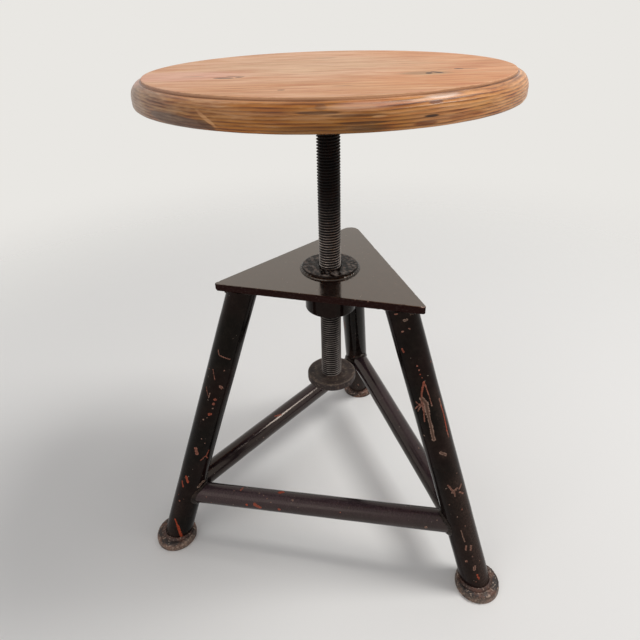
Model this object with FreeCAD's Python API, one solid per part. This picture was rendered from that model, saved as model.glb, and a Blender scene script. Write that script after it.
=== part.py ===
"""Three-legged workshop stool whose round wooden seat climbs on a threaded spindle.

Millimetres, +Z up.  The origin is the point of the floor under the spindle's axis, and the
top plate's front edge faces -Y.  The seat stands at the height of the reference photograph.
"""
import FreeCAD, Part
import math
import os

Vec = FreeCAD.Vector

# Seat
seat_height = 548.0
seat_diameter = 350.0
seat_thickness = 22.0
sitting_face_diameter = 330.0
step_depth = 2.5
step_width = 1.5
widest_below_top = 14.0
seat_lower_round = 3.0

# Steel plate that joins the seat to the spindle
seat_plate_diameter = 130.0
seat_plate_thickness = 6.0
seat_plate_weld_leg = 4.5
screw_circle_diameter = 96.0
screw_count = 4
screw_shank_diameter = 4.5
screw_head_diameter = 9.0
screw_head_depth = 2.6
screw_length = 20.0
screw_point_length = 5.0

# Spindle and its trapezoid-cut V thread
spindle_length = 324.0
neck_diameter = 22.0
thread_diameter = 24.0
thread_depth = 1.84
thread_pitch = 3.0
thread_crest = 0.375
thread_root = 0.75
neck_below_weld = 3.0
spigot_diameter = 16.0

# Stop disc under the spindle, with its washer and screw
stop_disc_diameter = 58.8
stop_disc_thickness = 9.2
stop_disc_edge_round = 1.8
stop_screw_diameter = 10.0
stop_screw_reach = 24.0
stop_screw_head_flats = 16.0
stop_screw_head_height = 6.4
stop_washer_diameter = 21.0
stop_washer_thickness = 2.0

# Triangular top plate
plate_top_height = 344.0
plate_thickness = 8.0
plate_middle_to_edge = 64.7
plate_front_corner_radius = 3.0
plate_back_corner_radius = 11.0

# Threaded bush that hangs in the top plate
bush_flange_diameter = 62.0
bush_flange_thickness = 4.0
bush_barrel_diameter = 57.2
bush_drop = 41.0
bush_mouth_depth = 1.5
bush_mouth_ledge = 0.45
bush_top_weld_leg = 2.4
bush_under_weld_leg = 4.0

# Legs: where each tube's axis meets the top plate and the floor
leg_diameter = 33.0
leg_wall = 2.9
leg_top_reach = 96.8
left_foot_reach = 219.0
right_foot_reach = 221.3
back_foot_reach = 214.4
left_foot_turn = 6.1
right_foot_turn = 3.1
back_foot_turn = 1.8
leg_top_weld_leg = 4.0

# Feet
foot_diameter = 49.6
foot_thickness = 10.0
foot_rim_height = 4.0
foot_top_diameter = 42.0
foot_edge_round = 1.2
foot_weld_leg = 3.0

# Stretchers: the height of each end's axis above the floor
stretcher_diameter = 25.4
stretcher_wall = 2.6
front_stretcher_left_height = 69.0
front_stretcher_right_height = 83.0
right_stretcher_front_height = 72.0
right_stretcher_back_height = 98.0
left_stretcher_back_height = 86.5
left_stretcher_front_height = 75.5
stretcher_weld_leg = 3.0

# Fits
running_clearance = 0.08
washer_clearance = 0.16
thread_clearance = 0.3
face_gap = 0.2
root_gap = 0.15
stop_screw_end_room = 2.0

# How far a cutting shape reaches past the face that it cuts
overreach = 1.0

# A trimmed weld's loose slivers are smaller than this share of it
sliver_share = 0.02

# Corner directions of the top plate, counterclockwise from +X
corner_names = ("right", "back", "left")
first_corner_angle = -30.0
corner_spacing_angle = 360.0 / len(corner_names)
corner_angle = {
    name: first_corner_angle + k * corner_spacing_angle for k, name in enumerate(corner_names)}
corner_radius = {
    "right": plate_front_corner_radius, "back": plate_back_corner_radius,
    "left": plate_front_corner_radius}
foot_reach = {"right": right_foot_reach, "back": back_foot_reach, "left": left_foot_reach}
foot_turn = {"right": right_foot_turn, "back": back_foot_turn, "left": left_foot_turn}

# Heights that follow from the sizes above
seat_underside = seat_height - seat_thickness
seat_plate_underside = seat_underside - seat_plate_thickness
spindle_shoulder = seat_underside - spindle_length
thread_top = seat_plate_underside - seat_plate_weld_leg - neck_below_weld
stop_disc_top = spindle_shoulder - face_gap
stop_disc_underside = stop_disc_top - stop_disc_thickness
spigot_end = stop_disc_underside - face_gap
plate_underside = plate_top_height - plate_thickness
bush_underside = plate_underside - bush_drop
bush_top = plate_top_height + bush_flange_thickness
far_away = 4 * seat_diameter


def polar(reach, angle, height=0.0):
    """Point at a horizontal distance and compass angle from the spindle's axis."""
    turn = math.radians(angle)
    return Vec(reach * math.cos(turn), reach * math.sin(turn), height)


def disc(diameter, low, high, middle=Vec(0, 0, 0)):
    """Upright cylinder between two heights."""
    return Part.makeCylinder(diameter / 2, high - low, Vec(middle.x, middle.y, low))


def turned(edges):
    """Solid of revolution about Z from the edges of a closed half section in the XZ plane."""
    face = Part.Face(Part.Wire(edges))
    return face.revolve(Vec(0, 0, 0), Vec(0, 0, 1), 360)


def line(start, end):
    """Straight edge between two (radius, height) points."""
    return Part.LineSegment(Vec(start[0], 0, start[1]), Vec(end[0], 0, end[1])).toShape()


def quarter_round(start, end, outward_first):
    """Arc through the middle of the quarter ellipse that joins two (radius, height) points."""
    share = math.sqrt(0.5)
    if outward_first:
        middle = (start[0] + (end[0] - start[0]) * share, end[1] + (start[1] - end[1]) * share)
    else:
        middle = (end[0] + (start[0] - end[0]) * share, start[1] + (end[1] - start[1]) * share)
    points = [Vec(r, 0, z) for r, z in (start, middle, end)]
    return Part.Arc(*points).toShape()


def turned_polygon(points):
    """Solid of revolution about Z from (radius, height) corners."""
    ring = points + points[:1]
    return turned([line(a, b) for a, b in zip(ring[:-1], ring[1:])])


def moved(shape, offset):
    """Copy of a shape shifted by a vector."""
    copy = shape.copy()
    copy.translate(offset)
    return copy


def along(diameter, start, end):
    """Round bar from one point to another."""
    return Part.makeCylinder(diameter / 2, (end - start).Length, start, end - start)


def largest(shape):
    """The biggest solid of a cut shape."""
    return max(shape.Solids, key=lambda solid: solid.Volume)


def joined(solids):
    """One shape that holds several separate solids."""
    return solids[0] if len(solids) == 1 else Part.makeCompound(solids)


def without_slivers(shape):
    """A trimmed weld without the crumbs that the trimming leaves beside it."""
    smallest = sliver_share * shape.Volume
    return joined([solid for solid in shape.Solids if solid.Volume > smallest])


def helix(radius, height):
    """One turn of the thread's helix, starting over +X at a height."""
    turn = Part.makeHelix(thread_pitch, thread_pitch, radius)
    turn.translate(Vec(0, 0, height))
    return turn.Edges[0]


def threaded_bar(growth, low, high):
    """Bar with the spindle's thread, grown by a radial clearance, that reaches past two heights.

    Ruled strips between helices make each turn's flanks, crest and root.  A helicoid and a flat
    half section close each end.
    """
    minor = thread_diameter / 2 - thread_depth + growth
    major = thread_diameter / 2 + growth
    flank = (thread_pitch - thread_crest - thread_root) / 2
    profile = [(minor, 0.0), (major, flank), (major, flank + thread_crest),
               (minor, 2 * flank + thread_crest), (minor, thread_pitch)]
    first = math.floor((low - spindle_shoulder) / thread_pitch) - 1
    last = math.ceil((high - spindle_shoulder) / thread_pitch) + 1
    heights = [spindle_shoulder + turn * thread_pitch for turn in range(first, last + 1)]
    faces = []
    for height in heights[:-1]:
        edges = [helix(radius, height + rise) for radius, rise in profile]
        for lower, upper in zip(edges[:-1], edges[1:]):
            faces += Part.makeRuledSurface(lower, upper).Faces
    for height in (heights[0], heights[-1]):
        foot = Vec(0, 0, height)
        head = Vec(0, 0, height + thread_pitch)
        axis = Part.LineSegment(foot, head).toShape()
        faces += Part.makeRuledSurface(axis, helix(minor, height)).Faces
        outline = [foot] + [Vec(radius, 0, height + rise) for radius, rise in profile] + [head, foot]
        faces.append(Part.Face(Part.makePolygon(outline)))
    shell = Part.Shell(faces)
    shell.sewShape()
    bar = Part.Solid(shell)
    if bar.Volume < 0:
        bar.reverse()
    return bar


# Seat and its fixings

def seat_screw(growth):
    """Countersunk wood screw on the Z axis, or its pilot hole when grown."""
    head = screw_head_diameter / 2 + growth
    shank = screw_shank_diameter / 2 + growth
    low = seat_plate_underside
    point = low + screw_length + growth
    return turned_polygon([
        (0, low), (head, low), (shank, low + screw_head_depth),
        (shank, point - screw_point_length), (0, point)])


def screw_places():
    """Offsets of the seat screws on their circle."""
    step = 360.0 / screw_count
    return [polar(screw_circle_diameter / 2, step * (k + 0.5)) for k in range(screw_count)]


def seat_board():
    """Round board: sitting face, a small step round it, and a bullnose side."""
    radius = seat_diameter / 2
    face = sitting_face_diameter / 2
    top = seat_height
    widest = (radius, top - widest_below_top)
    step = (face + step_width, top - step_depth)
    under = (radius - seat_lower_round, seat_underside)
    board = turned([
        line((0, top), (face, top)),
        line((face, top), (face, top - step_depth)),
        line((face, top - step_depth), step),
        quarter_round(step, widest, True),
        quarter_round(widest, under, False),
        line(under, (0, seat_underside)),
        line((0, seat_underside), (0, top))])
    for place in screw_places():
        board = board.cut(moved(seat_screw(running_clearance), place))
    return board


def seat_plate():
    """Round steel plate under the board, bored for the spindle's neck and the screws."""
    plate = disc(seat_plate_diameter, seat_plate_underside, seat_underside)
    bore = neck_diameter + 2 * running_clearance
    plate = plate.cut(disc(bore, seat_plate_underside - overreach, seat_underside + overreach))
    for place in screw_places():
        plate = plate.cut(moved(seat_screw(running_clearance), place))
    return plate


def fillet_ring(diameter, face_height, leg, upward):
    """Three-sided weld round an upright bar, lying on a flat face above or below it."""
    radius = diameter / 2
    reach = leg if upward else -leg
    return turned_polygon([(radius, face_height), (radius + leg, face_height),
                           (radius, face_height + reach)])


# Spindle, stop disc and their fixings

def spindle():
    """Threaded bar with a plain neck above and a spigot and tapped hole below."""
    bar = threaded_bar(0.0, spindle_shoulder, thread_top)
    bar = bar.common(disc(thread_diameter + overreach, spindle_shoulder, thread_top))
    bar = bar.fuse(disc(neck_diameter, thread_top, seat_underside))
    bar = bar.fuse(disc(spigot_diameter, spigot_end, spindle_shoulder))
    hole = stop_screw_diameter + 2 * running_clearance
    bar = bar.cut(disc(hole, spigot_end - overreach, spigot_end + stop_screw_reach))
    return largest(bar)


def stop_disc():
    """Round disc on the spigot that keeps the spindle in its bush."""
    radius = stop_disc_diameter / 2
    bore = spigot_diameter / 2 + running_clearance
    low = stop_disc_underside
    top = stop_disc_top
    edge = stop_disc_edge_round
    return turned([
        line((bore, low), (radius - edge, low)),
        quarter_round((radius - edge, low), (radius, low + edge), True),
        line((radius, low + edge), (radius, top - edge)),
        quarter_round((radius, top - edge), (radius - edge, top), False),
        line((radius - edge, top), (bore, top)),
        line((bore, top), (bore, low))])


def stop_washer():
    """Plain washer that carries the stop disc."""
    low = spigot_end - stop_washer_thickness
    hole = stop_screw_diameter + 2 * washer_clearance
    washer = disc(stop_washer_diameter, low, spigot_end)
    return washer.cut(disc(hole, low - overreach, spigot_end + overreach))


def stop_screw():
    """Hexagon screw in the end of the spindle."""
    head_top = spigot_end - stop_washer_thickness
    head_low = head_top - stop_screw_head_height
    corner = stop_screw_head_flats / math.sqrt(3)
    outline = [polar(corner, 60 * k, head_low) for k in range(7)]
    head = Part.Face(Part.makePolygon(outline)).extrude(Vec(0, 0, stop_screw_head_height))
    shank_top = spigot_end + stop_screw_reach - stop_screw_end_room
    return head.fuse(disc(stop_screw_diameter, head_top, shank_top))


# Top plate and threaded bush

def plate_prism(low, high):
    """Upright prism on the top plate's rounded triangle."""
    half = corner_spacing_angle / 2
    arcs = []
    for name, angle in corner_angle.items():
        radius = corner_radius[name]
        middle = polar((plate_middle_to_edge - radius) / math.cos(math.radians(half)), angle)
        arcs.append([middle + polar(radius, angle + turn) for turn in (-half, 0, half)])
    edges = []
    for arc, following in zip(arcs, arcs[1:] + arcs[:1]):
        edges.append(Part.Arc(*arc).toShape())
        edges.append(Part.LineSegment(arc[2], following[0]).toShape())
    outline = Part.Face(Part.Wire(edges))
    outline.translate(Vec(0, 0, low))
    return outline.extrude(Vec(0, 0, high - low))


def top_plate():
    """Triangular plate with a hole for the bush's barrel."""
    hole = bush_barrel_diameter + 2 * running_clearance
    return plate_prism(plate_underside, plate_top_height).cut(
        disc(hole, plate_underside - overreach, plate_top_height + overreach))


def threaded_bush():
    """Flanged barrel with conical mouths and the spindle's thread cut through it."""
    body = disc(bush_flange_diameter, plate_top_height, bush_top)
    body = body.fuse(disc(bush_barrel_diameter, bush_underside, plate_top_height))
    floor = thread_diameter / 2 + thread_clearance + bush_mouth_ledge
    depth = bush_mouth_depth
    for face, inward in ((bush_top, -1), (bush_underside, 1)):
        body = body.cut(turned_polygon([
            (0, face), (floor + depth, face), (floor, face + inward * depth),
            (0, face + inward * depth)]))
    return largest(body.cut(threaded_bar(thread_clearance, bush_underside, bush_top)))


def bush_welds():
    """Weld round the flange on the plate, and round the barrel below it."""
    return joined([
        fillet_ring(bush_flange_diameter, plate_top_height, bush_top_weld_leg, True),
        fillet_ring(bush_barrel_diameter, plate_underside, bush_under_weld_leg, False)])


# Legs, feet and stretchers

def leg_top(side):
    """Point where a leg's axis meets the top plate's underside."""
    return polar(leg_top_reach, corner_angle[side], plate_underside)


def leg_foot(side):
    """Point where a leg's axis meets the floor."""
    return polar(foot_reach[side], corner_angle[side] + foot_turn[side])


def leg_at(side, height):
    """Point of a leg's axis at a height."""
    share = height / plate_underside
    return leg_foot(side) + (leg_top(side) - leg_foot(side)) * share


def leg_bar(side, diameter):
    """Endless round bar on a leg's axis, cut between its foot and the top plate."""
    top = leg_top(side)
    drop = leg_foot(side) - top
    bar = along(diameter, top - drop, top + 2 * drop)
    return bar.common(disc(far_away, foot_thickness, plate_underside))


def leg(side):
    """Splayed tube, cut level at both ends."""
    return leg_bar(side, leg_diameter).cut(leg_bar(side, leg_diameter - 2 * leg_wall))


def leg_outline(side, height, growth):
    """Level section of a leg's outside, grown by a weld's leg."""
    axis = leg_top(side) - leg_foot(side)
    level = Vec(axis.x, axis.y, 0).normalize()
    across = Vec(-level.y, level.x, 0)
    radius = leg_diameter / 2 + growth
    middle = leg_at(side, height)
    stretch = axis.Length / axis.z
    ellipse = Part.Ellipse(middle + level * radius * stretch, middle + across * radius, middle)
    return Part.Wire(ellipse.toShape())


def leg_weld(side, face_height, leg_size, keep):
    """Weld between a leg and a level face, kept inside the piece that carries it."""
    end_height = face_height + leg_size
    wires = [leg_outline(side, face_height, abs(leg_size)), leg_outline(side, end_height, 0.0)]
    cone = Part.makeLoft(wires, True, True)
    return without_slivers(cone.cut(leg_bar(side, leg_diameter)).common(keep))


def leg_top_weld(side):
    """Weld under the top plate, where the plate leaves room beside the tube."""
    keep = plate_prism(plate_underside - 2 * leg_top_weld_leg, plate_underside)
    return leg_weld(side, plate_underside, -leg_top_weld_leg, keep)


def foot(side):
    """Round foot: flat below, upright rim, domed shoulder and a flat for the leg."""
    radius = foot_diameter / 2
    flat = foot_top_diameter / 2
    edge = foot_edge_round
    body = turned([
        line((0, 0), (radius - edge, 0)),
        quarter_round((radius - edge, 0), (radius, edge), True),
        line((radius, edge), (radius, foot_rim_height)),
        quarter_round((radius, foot_rim_height), (flat, foot_thickness), False),
        line((flat, foot_thickness), (0, foot_thickness)),
        line((0, foot_thickness), (0, 0))])
    return moved(body, leg_foot(side))


def leg_foot_weld(side):
    """Weld on the foot's top flat, round the leg."""
    middle = leg_foot(side)
    keep = disc(foot_top_diameter, foot_thickness, foot_thickness + 2 * foot_weld_leg, middle)
    return leg_weld(side, foot_thickness, foot_weld_leg, keep)


stretcher_ends = {
    "front": (("left", front_stretcher_left_height), ("right", front_stretcher_right_height)),
    "right": (("right", right_stretcher_front_height), ("back", right_stretcher_back_height)),
    "left": (("back", left_stretcher_back_height), ("left", left_stretcher_front_height)),
}


def stretcher_bar(name, diameter):
    """Round bar between two legs' axes."""
    (start_side, start_height), (end_side, end_height) = stretcher_ends[name]
    return along(diameter, leg_at(start_side, start_height), leg_at(end_side, end_height))


def beyond_mitre(name, side):
    """Half space on the far side of the upright plane that parts two stretchers at a leg."""
    heights = dict(stretcher_ends[name])
    here = leg_at(side, heights[side])
    own_end = [end for end in heights if end != side][0]
    other_end = [end for end in corner_angle if end not in heights][0]
    toward = (leg_at(own_end, here.z) - here).normalize()
    away = (leg_at(other_end, here.z) - here).normalize()
    normal = away - toward
    normal.z = 0
    slab = Part.makeBox(far_away, far_away, far_away, Vec(0, -far_away / 2, -far_away / 2))
    slab.rotate(Vec(0, 0, 0), Vec(0, 0, 1), math.degrees(math.atan2(normal.y, normal.x)))
    slab.translate(here)
    return slab


def stretcher(name):
    """Tube coped to both legs and mitred against its neighbours."""
    tube = stretcher_bar(name, stretcher_diameter)
    tube = tube.cut(stretcher_bar(name, stretcher_diameter - 2 * stretcher_wall))
    for side in dict(stretcher_ends[name]):
        tube = tube.cut(leg_bar(side, leg_diameter + 2 * root_gap))
        tube = tube.cut(beyond_mitre(name, side))
    return largest(tube)


def leg_stretcher_weld(side):
    """Weld round the two stretchers that meet a leg."""
    names = [name for name, ends in stretcher_ends.items() if side in dict(ends)]
    room = leg_bar(side, leg_diameter + 2 * stretcher_weld_leg)
    bars = [stretcher_bar(name, stretcher_diameter + 2 * stretcher_weld_leg) for name in names]
    bead = bars[0].fuse(bars[1]).common(room).cut(leg_bar(side, leg_diameter))
    for name in names:
        bead = bead.cut(stretcher_bar(name, stretcher_diameter))
    return without_slivers(bead)


# Each node's shape
nodes = {
    "seat_board": seat_board(),
    "seat_plate": seat_plate(),
    "seat_screws": joined([moved(seat_screw(0.0), place) for place in screw_places()]),
    "seat_plate_weld": fillet_ring(neck_diameter, seat_plate_underside, seat_plate_weld_leg, False),
    "spindle": spindle(),
    "stop_disc": stop_disc(),
    "stop_washer": stop_washer(),
    "stop_screw": stop_screw(),
    "threaded_bush": threaded_bush(),
    "bush_welds": bush_welds(),
    "top_plate": top_plate(),
}
for side in corner_angle:
    nodes[side + "_leg"] = leg(side)
    nodes[side + "_leg_top_weld"] = leg_top_weld(side)
    nodes[side + "_leg_stretcher_weld"] = leg_stretcher_weld(side)
    nodes[side + "_leg_foot_weld"] = leg_foot_weld(side)
    nodes[side + "_foot"] = foot(side)
for name in stretcher_ends:
    nodes[name + "_stretcher"] = stretcher(name)

os.makedirs("parts", exist_ok=True)
for node, shape in nodes.items():
    shape.exportStep("parts/" + node + ".step")
    print(node, len(shape.Solids), "solids", round(shape.Volume, 1), "mm3", shape.isValid())

# How far the seat can travel from the height it stands at
print("up to the stop disc", round(bush_underside - stop_disc_top, 2))
print("down to the weld", round(seat_plate_underside - seat_plate_weld_leg - bush_top, 2))
print("down to the floor", round(spigot_end - stop_washer_thickness - stop_screw_head_height, 2))
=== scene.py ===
# A workshop screw stool: worn board seat, oiled steel screw, enamelled tube frame.
# Lengths are in metres, written as millimetres times MM.  The tables of marks, chips, rubbed
# places and bare places are in millimetres, and the stage is in metres.

import math
from typing import NamedTuple

import bmesh
import bpy
import numpy as np
from mathutils import Matrix, Vector


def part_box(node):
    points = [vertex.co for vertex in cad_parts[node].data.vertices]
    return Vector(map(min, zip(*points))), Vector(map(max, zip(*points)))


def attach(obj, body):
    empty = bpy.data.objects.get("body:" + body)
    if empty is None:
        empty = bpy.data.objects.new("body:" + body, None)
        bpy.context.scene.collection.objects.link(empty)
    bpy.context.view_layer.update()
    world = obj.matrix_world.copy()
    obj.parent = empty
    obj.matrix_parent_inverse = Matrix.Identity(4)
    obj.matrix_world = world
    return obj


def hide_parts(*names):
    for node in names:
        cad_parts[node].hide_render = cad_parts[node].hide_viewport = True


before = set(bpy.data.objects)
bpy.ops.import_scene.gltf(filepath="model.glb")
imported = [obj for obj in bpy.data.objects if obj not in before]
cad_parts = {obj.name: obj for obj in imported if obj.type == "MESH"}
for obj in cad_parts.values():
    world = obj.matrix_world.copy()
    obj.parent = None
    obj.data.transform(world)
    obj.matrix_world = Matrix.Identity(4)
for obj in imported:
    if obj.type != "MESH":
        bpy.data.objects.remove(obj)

bl_info = {
    "name": "Workshop Screw Stool",
    "version": (1, 0, 0),
    "blender": (4, 5, 0),
    "location": "3D View > Sidebar > Stool",
    "description": "Dresses a three-legged screw stool in worn wood, enamel and steel",
    "category": "Object",
}

MM = 0.001
TAU = 2 * math.pi
UP = np.array([0.0, 0.0, 1.0])
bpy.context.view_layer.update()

# Directions of the top plate's corners, counterclockwise from +X, in degrees
CORNERS = {"right": -30.0, "back": 90.0, "left": 210.0}

# Top plate: distance from its middle to its straight edges, and its corners' roundings
PLATE_REACH = 64.7 * MM
PLATE_ROUNDINGS = {"right": 3.0 * MM, "back": 11.0 * MM, "left": 3.0 * MM}

# Radii that the frame's boxes do not show, and the room round a bar in its hole
NECK_RADIUS = 11.0 * MM
SPIGOT_RADIUS = 8.0 * MM
STOP_SCREW_RADIUS = 5.0 * MM
BARREL_RADIUS = 28.6 * MM
FOOT_TOP_RADIUS = 21.0 * MM
CLEARANCE = 0.08 * MM

# Height of the spindle's shoulder, where its thread starts
SHOULDER = 202.0 * MM

# Distance from the screw's axis to each leg's axis at the top plate
LEG_TOP_REACH = 96.8 * MM

# Height of each stretcher's axis at the two legs that it joins
STRETCHER_ENDS = {
    "front": (("left", 69.0 * MM), ("right", 83.0 * MM)),
    "right": (("right", 72.0 * MM), ("back", 98.0 * MM)),
    "left": (("back", 86.5 * MM), ("left", 75.5 * MM)),
}


def tone(code):
    """Linear colour of an sRGB hex value, with full cover."""
    parts = np.array([int(code[k:k + 2], 16) / 255 for k in (1, 3, 5)])
    linear = np.where(parts <= 0.04045, parts / 12.92, ((parts + 0.055) / 1.055) ** 2.4)
    return (*linear, 1.0)


def top_of(node):
    """Height of a CAD node's top."""
    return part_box(node)[1].z


def foot_of(node):
    """Height of a CAD node's underside."""
    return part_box(node)[0].z


def width_of(node):
    """Width of a CAD node along X."""
    low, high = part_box(node)
    return high.x - low.x


# Sizes and colours that a user would change

class SeatSettings(bpy.types.PropertyGroup):
    diameter: bpy.props.FloatProperty(
        name="Diameter", description="Widest line of the board",
        default=width_of("seat_board"), unit="LENGTH")
    face_diameter: bpy.props.FloatProperty(
        name="Face", description="Diameter of the sitting face inside its step",
        default=330.0 * MM, unit="LENGTH")
    step_depth: bpy.props.FloatProperty(
        name="Step", description="Depth of the turned step round the face",
        default=2.5 * MM, unit="LENGTH")
    grain_turn: bpy.props.FloatProperty(
        name="Grain", description="Direction of the wood's grain from +X",
        default=math.radians(16.5), subtype="ANGLE")
    face_colour: bpy.props.FloatVectorProperty(
        name="Face colour", description="Worn wood of the sitting face",
        default=tone("#d9ad8c"), subtype="COLOR", size=4)
    rim_colour: bpy.props.FloatVectorProperty(
        name="Rim colour", description="Varnished wood of the rim",
        default=tone("#b3722f"), subtype="COLOR", size=4)


class ScrewSettings(bpy.types.PropertyGroup):
    diameter: bpy.props.FloatProperty(
        name="Diameter", description="Over the thread's crests",
        default=24.0 * MM, unit="LENGTH")
    depth: bpy.props.FloatProperty(
        name="Depth", description="Depth of the thread",
        default=1.84 * MM, unit="LENGTH")
    pitch: bpy.props.FloatProperty(
        name="Pitch", description="Rise of the thread in one turn",
        default=3.0 * MM, unit="LENGTH")
    crest_colour: bpy.props.FloatVectorProperty(
        name="Crest colour", description="Rubbed steel on the thread's crests",
        default=tone("#b3a8a1"), subtype="COLOR", size=4)
    root_colour: bpy.props.FloatVectorProperty(
        name="Root colour", description="Old oil in the thread's roots",
        default=tone("#110d0c"), subtype="COLOR", size=4)


class FrameSettings(bpy.types.PropertyGroup):
    leg_diameter: bpy.props.FloatProperty(
        name="Leg", description="Outside diameter of the leg tubes",
        default=33.0 * MM, unit="LENGTH")
    leg_wall: bpy.props.FloatProperty(
        name="Leg wall", description="Wall of the leg tubes",
        default=2.9 * MM, unit="LENGTH")
    stretcher_diameter: bpy.props.FloatProperty(
        name="Stretcher", description="Outside diameter of the stretcher tubes",
        default=25.4 * MM, unit="LENGTH")
    stretcher_wall: bpy.props.FloatProperty(
        name="Stretcher wall", description="Wall of the stretcher tubes",
        default=2.6 * MM, unit="LENGTH")
    foot_diameter: bpy.props.FloatProperty(
        name="Foot", description="Diameter of the round feet",
        default=width_of("left_foot"), unit="LENGTH")
    enamel_colour: bpy.props.FloatVectorProperty(
        name="Enamel", description="Gloss enamel of the frame",
        default=tone("#0b0908"), subtype="COLOR", size=4)
    primer_colour: bpy.props.FloatVectorProperty(
        name="Primer", description="Red lead primer under the enamel",
        default=tone("#a8452b"), subtype="COLOR", size=4)


class StageSettings(bpy.types.PropertyGroup):
    floor_colour: bpy.props.FloatVectorProperty(
        name="Floor", description="Pale matt floor",
        default=tone("#eae8e4"), subtype="COLOR", size=4)
    key_power: bpy.props.FloatProperty(
        name="Key lamp", description="Soft lamp high on the right", default=30.0, unit="POWER")
    fill_power: bpy.props.FloatProperty(
        name="Fill lamp", description="Wide lamp at the front", default=10.0, unit="POWER")
    air: bpy.props.FloatProperty(
        name="Air", description="Strength of the light from all round", default=0.45, min=0.0)


# Shapes

# Points closer than this are merged, and an edge that turns more than this is sharp
MERGE_DISTANCE = 0.002 * MM
SHARP_ANGLE = math.radians(48)


class Grid(NamedTuple):
    """Points on a grid, whether its rows and columns run round into themselves, and its finish.

    wear is 1 in the middle of a chip and one half at its border, raw is how bare a chip is
    below its primer, and rub is how far hands and shoes have rubbed the finish.  Some wear also
    paints glints and highlights as pale bare steel, and on the screw its fall upwards paints shade;
    rub also paints a sheen on the front and right stretchers.  On the seat wear is 1 on the sitting
    face, and rub marks the step round it, where a line of dirt and painted shade lies at its foot.
    """
    points: np.ndarray
    rows_close: bool = False
    columns_close: bool = True
    wear: np.ndarray = 0.0
    raw: np.ndarray = 0.0
    rub: np.ndarray = 0.0


FINISH_LAYERS = ("wear", "raw", "rub")


def lumps(points, size, seed, waves=28):
    """Smooth random height between about -1 and 1.

    It is a sum of cosines whose directions and phases are random and whose wavelengths lie
    round size, divided by the root of twice their number.
    """
    random = np.random.default_rng(seed)
    way = random.normal(size=(waves, 3))
    way *= (TAU / size * random.uniform(0.6, 1.7, waves) / np.linalg.norm(way, axis=1))[:, None]
    height = np.cos(points @ way.T + random.uniform(0, TAU, waves)).sum(-1)
    return height / math.sqrt(2 * waves)


def hollows(points, size, seed):
    """Smooth random depth between 0 and 1: half of the lumps' height, plus one half."""
    return (0.5 + 0.5 * lumps(points, size, seed)).clip(0, 1)


def peaks(points, size, seed, level):
    """What stands above a level of the lumps, up to a height of 1, and 0 elsewhere."""
    return (lumps(points, size, seed) - level).clip(0, 1)


def ramp(value, start, end):
    """0 at start and 1 at end, straight between them, and held beyond them."""
    return np.clip((value - start) / (end - start), 0, 1)


def bell(gap, width):
    """Soft bump: e to the power of minus (gap / width) squared."""
    return np.exp(-(gap / width) ** 2)


def unit(vectors):
    """Vectors scaled to a length of one."""
    return vectors / np.linalg.norm(vectors, axis=-1, keepdims=True)


def flat(degrees):
    """Level unit vectors at compass angles, counterclockwise from +X."""
    angle = np.radians(degrees)
    return np.stack([np.cos(angle), np.sin(angle), 0 * angle], axis=-1)


def compass(columns):
    """Level unit vectors in even directions round a circle."""
    return flat(np.arange(columns) * 360 / columns)


def rounded(corners, run=2.0 * MM, arc_points=6, closed=False):
    """Points along straight runs with rounded corners.

    Each corner is (radius, height, rounding).  Its arc touches both runs, so it starts at
    rounding / tan(half the corner's angle) from the corner.  Runs are divided to about run.
    """
    spots = np.array([corner[:2] for corner in corners], float)
    count = len(spots)
    pieces = []
    for k, (_, _, rounding) in enumerate(corners):
        here = spots[k]
        if rounding == 0 or (not closed and k in (0, count - 1)):
            pieces.append(here[None])
            continue
        back, on = spots[k - 1] - here, spots[(k + 1) % count] - here
        back, on = back / np.hypot(*back), on / np.hypot(*on)
        half = math.acos(np.clip(back @ on, -1, 1)) / 2
        middle = here + (back + on) / np.linalg.norm(back + on) * rounding / math.sin(half)
        start = here + back * rounding / math.tan(half) - middle
        swing = math.pi - 2 * half
        side = np.sign(back[0] * on[1] - back[1] * on[0])
        angles = -side * np.linspace(0, swing, arc_points)
        turn = np.array([[np.cos(angles), -np.sin(angles)], [np.sin(angles), np.cos(angles)]])
        pieces.append(middle + np.einsum("ijk,j->ki", turn, start))
    line = np.vstack(pieces + ([pieces[0][:1]] if closed else []))
    steps = np.hypot(*np.diff(line, axis=0).T)
    parts = np.maximum(1, np.round(steps / run)).astype(int)
    dense = [np.linspace(line[k], line[k + 1], parts[k], endpoint=False) for k in range(len(parts))]
    return np.vstack(dense + ([] if closed else [line[-1:]]))


def turned(profile, columns, middle=(0.0, 0.0)):
    """Surface of revolution: each (radius, height) of the profile carried round the axis."""
    radius, height = profile[:, :1, None], profile[:, 1:, None]
    return radius * compass(columns) + height * UP + [*middle, 0.0]


def ring_profile(bore, radius, low, high, lip, low_round, high_round, **spacing):
    """Closed profile of a flat ring, with a lip's rounding at both ends of its bore."""
    return rounded([(bore, low, lip), (radius, low, low_round), (radius, high, high_round),
                    (bore, high, lip)], closed=True, **spacing)


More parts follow.
